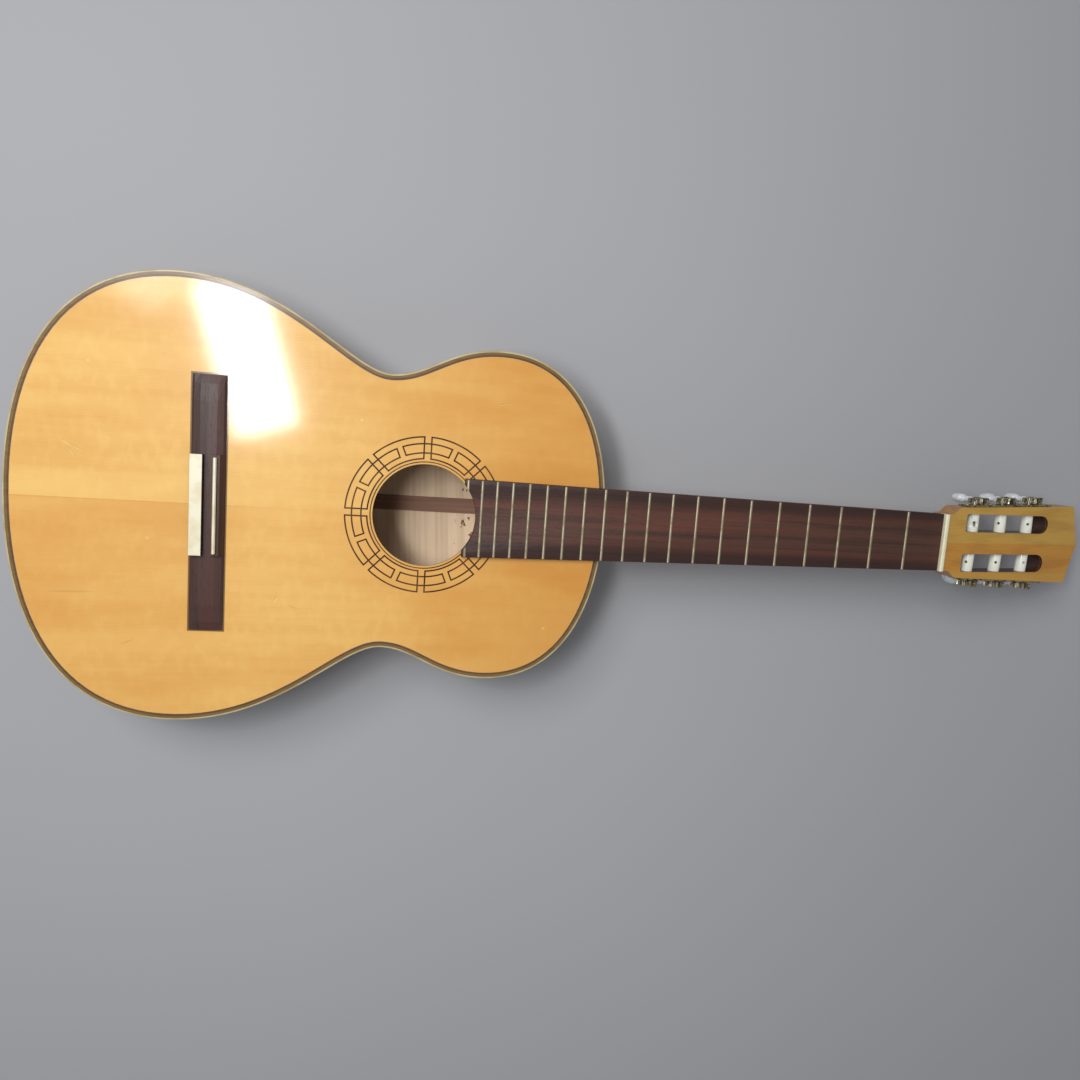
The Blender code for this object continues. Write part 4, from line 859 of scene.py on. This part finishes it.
def make_rosewood(name, light, dark, red, figure, roughness, coat, red_middle, turn):
    """Dark rosewood with red streaks, which can keep to the middle of the board, and open pores."""
    material, tree, shader, place = new_material(name, roughness, coat=coat, coat_roughness=0.35,
                                                 specular=0.2)
    place = mapped(tree, place, (0, 0, turn))
    wood = wood_at(tree, place, light, dark, figure)
    sideways = math_node(tree, "ABSOLUTE", axes_of(tree, place)[1])
    aside = times(tree, band(tree, sideways, 0.008, 0.025), red_middle)
    colour = blend_colours(tree, times(tree, aside, 0.75), wood["Color"], dark)
    glow = band(tree, stretched_noise(tree, place, (3.2, 95, 95), 3), 0.42, 0.66)
    colour = blend_colours(tree, times(tree, glow, times_plus(tree, aside, -0.85, 0.85)), colour, red)
    pore = band(tree, stretched_noise(tree, place, (110, 2400, 2400), 1), 0.64, 0.72)
    colour = blend_colours(tree, times(tree, pore, 0.4), colour, PORE_BLACK)
    finish_surface(tree, shader, colour, math_node(tree, "SUBTRACT", wood["Grain"], pore), 0.00006)
    return material


def make_board():
    low = spot(BOARD_END, 0, 0)
    high = spot(SCALE_LENGTH - NUT_GAP, 0, BOARD_THICKNESS)
    bpy.ops.mesh.primitive_cube_add(size=1, location=(low + high) / 2)
    board = named("rosewood_board")
    bpy.ops.object.transform_apply(location=True)
    for vertex in board.data.vertices:
        at_nut = vertex.co.x > (low.x + high.x) / 2
        half = board_half(SCALE_LENGTH if at_nut else BOARD_END)
        vertex.co = (high.x if at_nut else low.x, math.copysign(half, vertex.co.y),
                     high.z if vertex.co.z > (low.z + high.z) / 2 else low.z)
    cut_with(board, hole_saw(BOARD_END_RADIUS))
    ease_edges(board, 0.0004, 2)
    tidy_shell(board, 40)
    return board


def make_fret(number):
    """One piece of wire: a low half round with slanted ends, set on the board."""
    x = SCALE_LENGTH * 2 ** (-number / 12)
    half = board_half(x) - FRET_INSET
    wire = bar_across("fret_" + str(number), FRET_HALF, -half, half, 20)
    wire.data.transform(Matrix.Diagonal((1, 1, FRET_HEIGHT / FRET_HALF, 1)))
    plane_cut(wire, (0, 0, -FRET_SUNK), (0, 0, 1))
    for side in (-1, 1):
        plane_cut(wire, (0, side * half, 0), (0, -side, -FRET_SLANT))
    wire.data.transform(Matrix.Translation(spot(x, 0, BOARD_THICKNESS)))
    if x < HOLE_X + HOLE_RADIUS + 0.004:
        cut_with(wire, hole_saw(BOARD_END_RADIUS))
    return wire


def bar_across(name, radius, low, high, steps):
    """A round bar along y between two places."""
    bpy.ops.mesh.primitive_cylinder_add(vertices=steps, radius=radius, depth=high - low,
                                        rotation=(math.pi / 2, 0, 0), location=(0, (low + high) / 2, 0))
    bar = named(name)
    bpy.ops.object.transform_apply(location=True, rotation=True)
    return bar


def metal(name, bright, dull, roughness, cells, grime):
    """A metal that is bright where it is rubbed and dull with tarnish elsewhere."""
    material, tree, shader, place = new_material(name, roughness, metallic=1.0)
    patches = stretched_noise(tree, place, (cells, cells, cells), 4)
    mask = times(tree, band(tree, patches, 0.40, 0.66), grime)
    rough = times_plus(tree, mask, 0.30, roughness)
    fine = stretched_noise(tree, place, (2200, 2200, 2200), 2)
    finish_surface(tree, shader, blend_colours(tree, mask, bright, dull), fine, 0.00002, rough)
    return material


board = make_board()
clad(board, make_rosewood("board_rosewood", BOARD_BROWN, BOARD_DARK, BOARD_RED, BOARD_FIGURE,
                          0.48, 0.0, 1.0, 0.0))
settle(board, "guitar", "rosewood_dark", "fingerboard")
fret_wires = joined("fret_wires", [make_fret(number) for number in range(1, FRET_COUNT + 1)])
tidy_shell(fret_wires, 40)
clad(fret_wires, metal("fret_nickel", (0.52, 0.45, 0.32, 1), (0.32, 0.26, 0.16, 1), 0.52, 120, 0.6))
settle(fret_wires, "guitar", "aged_brass")


# The bridge is one piece of dark rosewood with a drilled tie block, glued to the soundboard. Its inlay,
# the saddle and the nut are cream plastic, yellowed, with soft patches of brown grime.

BRIDGE_BROWN = (0.072, 0.040, 0.034, 1)
BRIDGE_DARK = (0.028, 0.015, 0.014, 1)
BRIDGE_RED = (0.082, 0.034, 0.027, 1)
BRIDGE_FIGURE = (0.0035, 0.20, 0.55, 0.62, 0.008)

bridge_rosewood = make_rosewood("bridge_rosewood", BRIDGE_BROWN, BRIDGE_DARK, BRIDGE_RED, BRIDGE_FIGURE,
                                0.42, 0.15, 0.0, math.pi / 2)
ivory = speckled("yellowed_ivory", (0.86, 0.80, 0.60, 1), (0.68, 0.56, 0.33, 1), 0.32, 90, 0.6, 0.3)
# The nut's ivory is a brighter copy of the same plastic, partly painted light for the key lamp that faces its
# top.
lit_nut_ivory = speckled("lit_nut_ivory", (0.96, 0.90, 0.66, 1), (0.86, 0.75, 0.47, 1), 0.35, 120, 0.6, 0.3)
for node_name, material in (("bridge", bridge_rosewood), ("heel_cap", bridge_rosewood),
                            ("tie_block_inlay", ivory), ("saddle", ivory), ("nut", lit_nut_ivory)):
    clad(nodes[node_name], material)


# Each side has a pressed brass plate with three machines. A button turns a worm, the worm a wheel, and the
# wheel a roller with a moulded sleeve. The plates, wheels and worms are dark with tarnish.

HEAD_HALF_MIDDLE = 0.035523
SIDE_ANGLE = 0.033251
MIDDLE_ROLLER = 0.0733
ROLLER_PITCH = 0.0350
ROLLER_DEPTH = 0.0086
ROLLER_RADIUS = 0.0052
ROLLER_REACH = 0.0306
ROLLER_GAP = 0.0003
CORE_RADIUS = 0.0030
CORE_SHORTER = 0.001
SPINDLE_RADIUS = 0.0024
BORE_PLAY = 0.0002
BROKEN_ROLLER = 6
PLATE_FACE = 0.0018
GEAR_OUTER = 0.0078
SCREW_PLACES = (-0.0444, -0.0153, 0.0197, 0.0517)
PLATE_SCREW_RADIUS = 0.0021
WHEEL_SCREW_RADIUS = 0.0024
WHEEL_SCREW_SUNK = 0.0001
SCREW_FLATNESS = 0.55
DRILL_RADIUS = 0.0014
# How far each string hole shifts along its roller from one roller to the next.
HOLE_DRIFT = 0.00117
STRING_HOLE_ANGLES = {1: 28, 2: 55, 3: 72, 4: 55, 5: 25, 6: 60}
# Pieces chipped off the broken sleeve, from its string hole: place, size and turn.
CHIPS = (
    ((-0.0016, -0.0018, 0.0050), (0.0030, 0.0034, 0.0030), 0.4),
    ((-0.0048, -0.0026, 0.0030), (0.0022, 0.0030, 0.0026), 1.1),
    ((-0.0036, 0.0016, 0.0042), (0.0020, 0.0022, 0.0022), 2.0),
)
WORM_ASIDE = 0.0082
WORM_OUT = 0.0055
BUTTON_TURNS = {1: 40, 2: 20, 3: 130, 4: 168, 5: 12, 6: 170}
BUTTON_FLATNESS = 0.62
# Down a button from its collar: radius, depth under the worm, and whether that ring is flattened.
BUTTON_RINGS = (
    (0.0029, -0.0126, False), (0.0032, -0.0132, False), (0.0032, -0.0142, False), (0.0027, -0.0150, False),
    (0.0028, -0.0184, False), (0.0044, -0.0198, True), (0.0066, -0.0212, True), (0.0075, -0.0240, True),
    (0.0075, -0.0272, True), (0.0070, -0.0305, True), (0.0052, -0.0330, True), (0.0020, -0.0339, True),
)

tarnished_brass = metal("tarnished_brass", (0.50, 0.42, 0.26, 1), (0.10, 0.085, 0.055, 1), 0.34, 260, 0.95)
rubbed_brass = metal("rubbed_brass", (0.54, 0.49, 0.36, 1), (0.15, 0.125, 0.08, 1), 0.36, 300, 0.85)
steel_core = metal("steel_core", (0.42, 0.46, 0.50, 1), (0.16, 0.17, 0.18, 1), 0.35, 300, 0.6)
sleeve_plastic = speckled("sleeve_plastic", (0.97, 0.97, 0.86, 1), (0.86, 0.83, 0.62, 1),
                          0.30, 140, 0.45, 0.3)
pearl = speckled("pearl_button", (0.66, 0.69, 0.72, 1), (0.86, 0.88, 0.90, 1), 0.24, 320, 0.9, 0.6)
for node_name in nodes:
    if node_name.startswith("tuner_plate"):
        clad(nodes[node_name], tarnished_brass)
    elif node_name.startswith(("gear", "worm_shaft")):
        clad(nodes[node_name], rubbed_brass)


def machine_place(side, index, x=0.0, y=0.0):
    """A place by one roller's axis on its plate: x along the head, y across it and outwards."""
    middle = HEAD @ Matrix.Translation((MIDDLE_ROLLER, side * HEAD_HALF_MIDDLE, -ROLLER_DEPTH))
    plate = middle @ Matrix.Rotation(side * SIDE_ANGLE, 4, "Z")
    return plate @ Matrix.Translation((ROLLER_PITCH * index + x, side * y, 0))


def break_sleeve(sleeve, hole_y):
    """The broken sleeve: cracked, and chipped round its string hole down to the steel core."""
    cut_with(sleeve, bar_across("bore", CORE_RADIUS + BORE_PLAY, -0.04, 0.04, 32))
    for (x, y, z), size, turn in CHIPS:
        bpy.ops.mesh.primitive_ico_sphere_add(subdivisions=2, radius=1, location=(x, hole_y + y, z),
                                              rotation=(turn, turn, turn))
        chip = named("chip")
        chip.scale = size
        bpy.ops.object.transform_apply(location=False, rotation=True, scale=True)
        for vertex in chip.data.vertices:
            vertex.co *= random.uniform(0.82, 1.12)
        cut_with(sleeve, chip)
    bpy.ops.mesh.primitive_cube_add(size=1, location=(-0.0040, hole_y + 0.0034, 0.0038))
    crack = named("crack")
    crack.scale = (0.0006, 0.0060, 0.0050)
    crack.rotation_euler = (0.2, 0, 0.35)
    cut_with(sleeve, crack)


def make_roller(number, side, index):
    """A drilled sleeve and the bar that carries it, from the wheel through to the head's middle."""
    low, high = sorted((-side * ROLLER_REACH, -side * ROLLER_GAP))
    sleeve = bar_across("sleeve_" + str(number), ROLLER_RADIUS, low, high, 64)
    ease_edges(sleeve, 0.0004, 3)
    low, high = sorted((side * GEAR_OUTER, -side * (ROLLER_REACH - CORE_SHORTER)))
    core_radius = CORE_RADIUS if number == BROKEN_ROLLER else SPINDLE_RADIUS
    core = bar_across("core_" + str(number), core_radius, low, high, 32)
    hole_y = side * (SLOT_CENTRE - HEAD_HALF_MIDDLE - HOLE_DRIFT * index)
    for piece in (sleeve, core):
        bpy.ops.mesh.primitive_cylinder_add(vertices=24, radius=DRILL_RADIUS, depth=0.02,
                                            location=(0, hole_y, 0))
        drill = named("drill")
        drill.rotation_euler.y = math.radians(STRING_HOLE_ANGLES[number] - 90)
        cut_with(piece, drill)
        tidy_shell(piece)
    if number == BROKEN_ROLLER:
        break_sleeve(sleeve, hole_y)
        tidy_shell(sleeve)
    clad(sleeve, sleeve_plastic)
    clad(core, steel_core)
    return [sleeve, core]


def make_button(number, side):
    """A flattened button with a turned collar, drawn out ring by ring and rounded."""
    bpy.ops.mesh.primitive_circle_add(vertices=16, radius=BUTTON_RINGS[0][0], location=(0, 0, 0))
    button = named("tuner_button_" + str(number))
    button.data.transform(Matrix.Translation((0, 0, BUTTON_RINGS[0][1])))
    open_mesh(button)
    for (radius, z, flat), (next_radius, next_z, next_flat) in zip(BUTTON_RINGS, BUTTON_RINGS[1:]):
        grow = next_radius / radius
        squeeze = BUTTON_FLATNESS if next_flat and not flat else 1.0
        bpy.ops.mesh.extrude_edges_move(TRANSFORM_OT_translate={"value": (0, 0, next_z - z)})
        bpy.ops.transform.resize(value=(grow, grow * squeeze, 1), center_override=(0, 0, next_z))
    bpy.ops.mesh.select_all(action="DESELECT")
    bpy.ops.mesh.select_mode(type="EDGE")
    bpy.ops.mesh.select_non_manifold()
    bpy.ops.mesh.edge_face_add()
    bpy.ops.mesh.select_mode(type="VERT")
    close_mesh()
    rounded = button.modifiers.new("rounded", "SUBSURF")
    rounded.levels = rounded.render_levels = 2
    bpy.ops.object.modifier_apply(modifier="rounded")
    tidy_shell(button, 60)
    button.data.transform(Matrix.Rotation(side * math.radians(BUTTON_TURNS[number]), 4, "Z"))
    clad(button, pearl)
    return button


def make_screw(name, place, radius):
    """A small round-headed screw with a slot, set with its head outwards."""
    bpy.ops.mesh.primitive_uv_sphere_add(segments=24, ring_count=12, radius=radius)
    screw = named(name)
    plane_cut(screw, (0, 0, 0), (0, 0, 1))
    screw.data.transform(Matrix.Diagonal((1, 1, SCREW_FLATNESS, 1)))
    bpy.ops.mesh.primitive_cube_add(size=1, location=(0, 0, radius * SCREW_FLATNESS))
    slot_saw = named("slot_saw")
    slot_saw.scale = (radius * 3, radius * 0.28, radius * 0.5)
    slot_saw.rotation_euler.z = random.uniform(0, math.pi)
    cut_with(screw, slot_saw)
    tidy_shell(screw, 40)
    screw.data.transform(place)
    clad(screw, rubbed_brass)
    return screw


for side, side_name in ((1, "bass"), (-1, "treble")):
    outward = Matrix.Rotation(-side * math.pi / 2, 4, "X")
    screw_seats = [machine_place(side, 0, along, PLATE_FACE) @ outward for along in SCREW_PLACES]
    screws = [make_screw("plate_screw", seat, PLATE_SCREW_RADIUS) for seat in screw_seats]
    settle(joined("plate_screws_" + side_name, screws), "guitar", "aged_brass")
    for index in (-1, 0, 1):
        number = 5 - index if side > 0 else 2 + index
        parts = make_roller(number, side, index)
        for part in parts:
            part.data.transform(machine_place(side, index))
        wheel_face = machine_place(side, index, 0, GEAR_OUTER - WHEEL_SCREW_SUNK) @ outward
        parts.append(make_screw("wheel_screw_" + str(number), wheel_face, WHEEL_SCREW_RADIUS))
        roller = joined("string_roller_" + str(number), parts)
        settle(roller, "string_post_" + str(number), "roller_plastic", "roller_" + str(number))
        button = make_button(number, side)
        button.data.transform(machine_place(side, index, WORM_ASIDE, WORM_OUT))
        settle(button, "tuning_key_" + str(number), "pearl_plastic", "button_" + str(number))


# The floor is matt grey paper. A soft lamp about a metre above lies mirrored on the varnish of the lower
# bout, a wide soft light comes in from the tail and the bass side, and the room is pale.

FLOOR_SIZE = 14
FLOOR_GAP = 0.0001
FLOOR_GREY = (0.41, 0.415, 0.435, 1)
FLOOR_PALE = (0.45, 0.455, 0.47, 1)
ROOM_COLOUR = (0.94, 0.97, 1.0, 1)
ROOM_STRENGTH = 0.30
# Name, place, target, turn about the beam, size and power in watts.
LIGHTS = (
    ("near_lamp", (-0.462, 0.160, 1.076), (-0.16, 0.0, 0.09), -0.80, (0.12, 0.29), 4.2),
    ("window_light", (-0.85, 0.80, 1.75), (0.10, 0.0, 0.10), 0.0, (0.8, 0.8), 17),
)


def soft_light(name, place, target, turn, size, watts):
    """A rectangular soft light aimed at a place and turned about its beam."""
    lamp = bpy.data.lights.new(name, "AREA")
    lamp.shape = "RECTANGLE"
    lamp.size, lamp.size_y = size
    lamp.energy = watts
    holder = bpy.data.objects.new(name, lamp)
    bpy.context.scene.collection.objects.link(holder)
    holder.location = place
    aim = (Vector(target) - Vector(place)).to_track_quat("-Z", "Y").to_matrix()
    holder.rotation_euler = (aim @ Matrix.Rotation(turn, 3, "Z")).to_euler()


bpy.ops.mesh.primitive_plane_add(size=FLOOR_SIZE, location=(0, 0, cad_low.z - FLOOR_GAP))
floor = named("floor")
floor_paper, tree, shader, place = new_material("floor_paper", 0.9, specular=0.1)
tone = stretched_noise(tree, place, (1.2, 1.2, 1.2), 3)
tree.links.new(blend_colours(tree, tone, FLOOR_GREY, FLOOR_PALE), shader.inputs["Base Color"])
clad(floor, floor_paper)
for light in LIGHTS:
    soft_light(*light)

world = bpy.data.worlds.new("pale_room")
bpy.context.scene.world = world
world.use_nodes = True
room = world.node_tree.nodes["Background"].inputs
room["Color"].default_value = ROOM_COLOUR
room["Strength"].default_value = ROOM_STRENGTH


# The camera stands over the body, a little to the tail and the bass side, and looks down on the guitar.

CAMERA_PLACE = (-0.187589, 0.09380, 0.86364)
CAMERA_RIGHT = (0.98519, 0.07030, 0.15638)
CAMERA_UP = (-0.04698, 0.98785, -0.14814)
CAMERA_BACK = (-0.16489, 0.13860, 0.97652)
LENS = 29.88
SENSOR_WIDTH = 36
PRINCIPAL_DROP = -1.5 / 1080

camera_data = bpy.data.cameras.new("camera")
camera_data.lens = LENS
camera_data.sensor_width = SENSOR_WIDTH
camera_data.shift_y = PRINCIPAL_DROP
camera = bpy.data.objects.new("camera", camera_data)
bpy.context.scene.collection.objects.link(camera)
columns = Matrix((CAMERA_RIGHT, CAMERA_UP, CAMERA_BACK)).transposed().to_4x4()
camera.matrix_world = Matrix.Translation(CAMERA_PLACE) @ columns
bpy.context.scene.camera = camera
bpy.context.scene.view_settings.view_transform = "Standard"
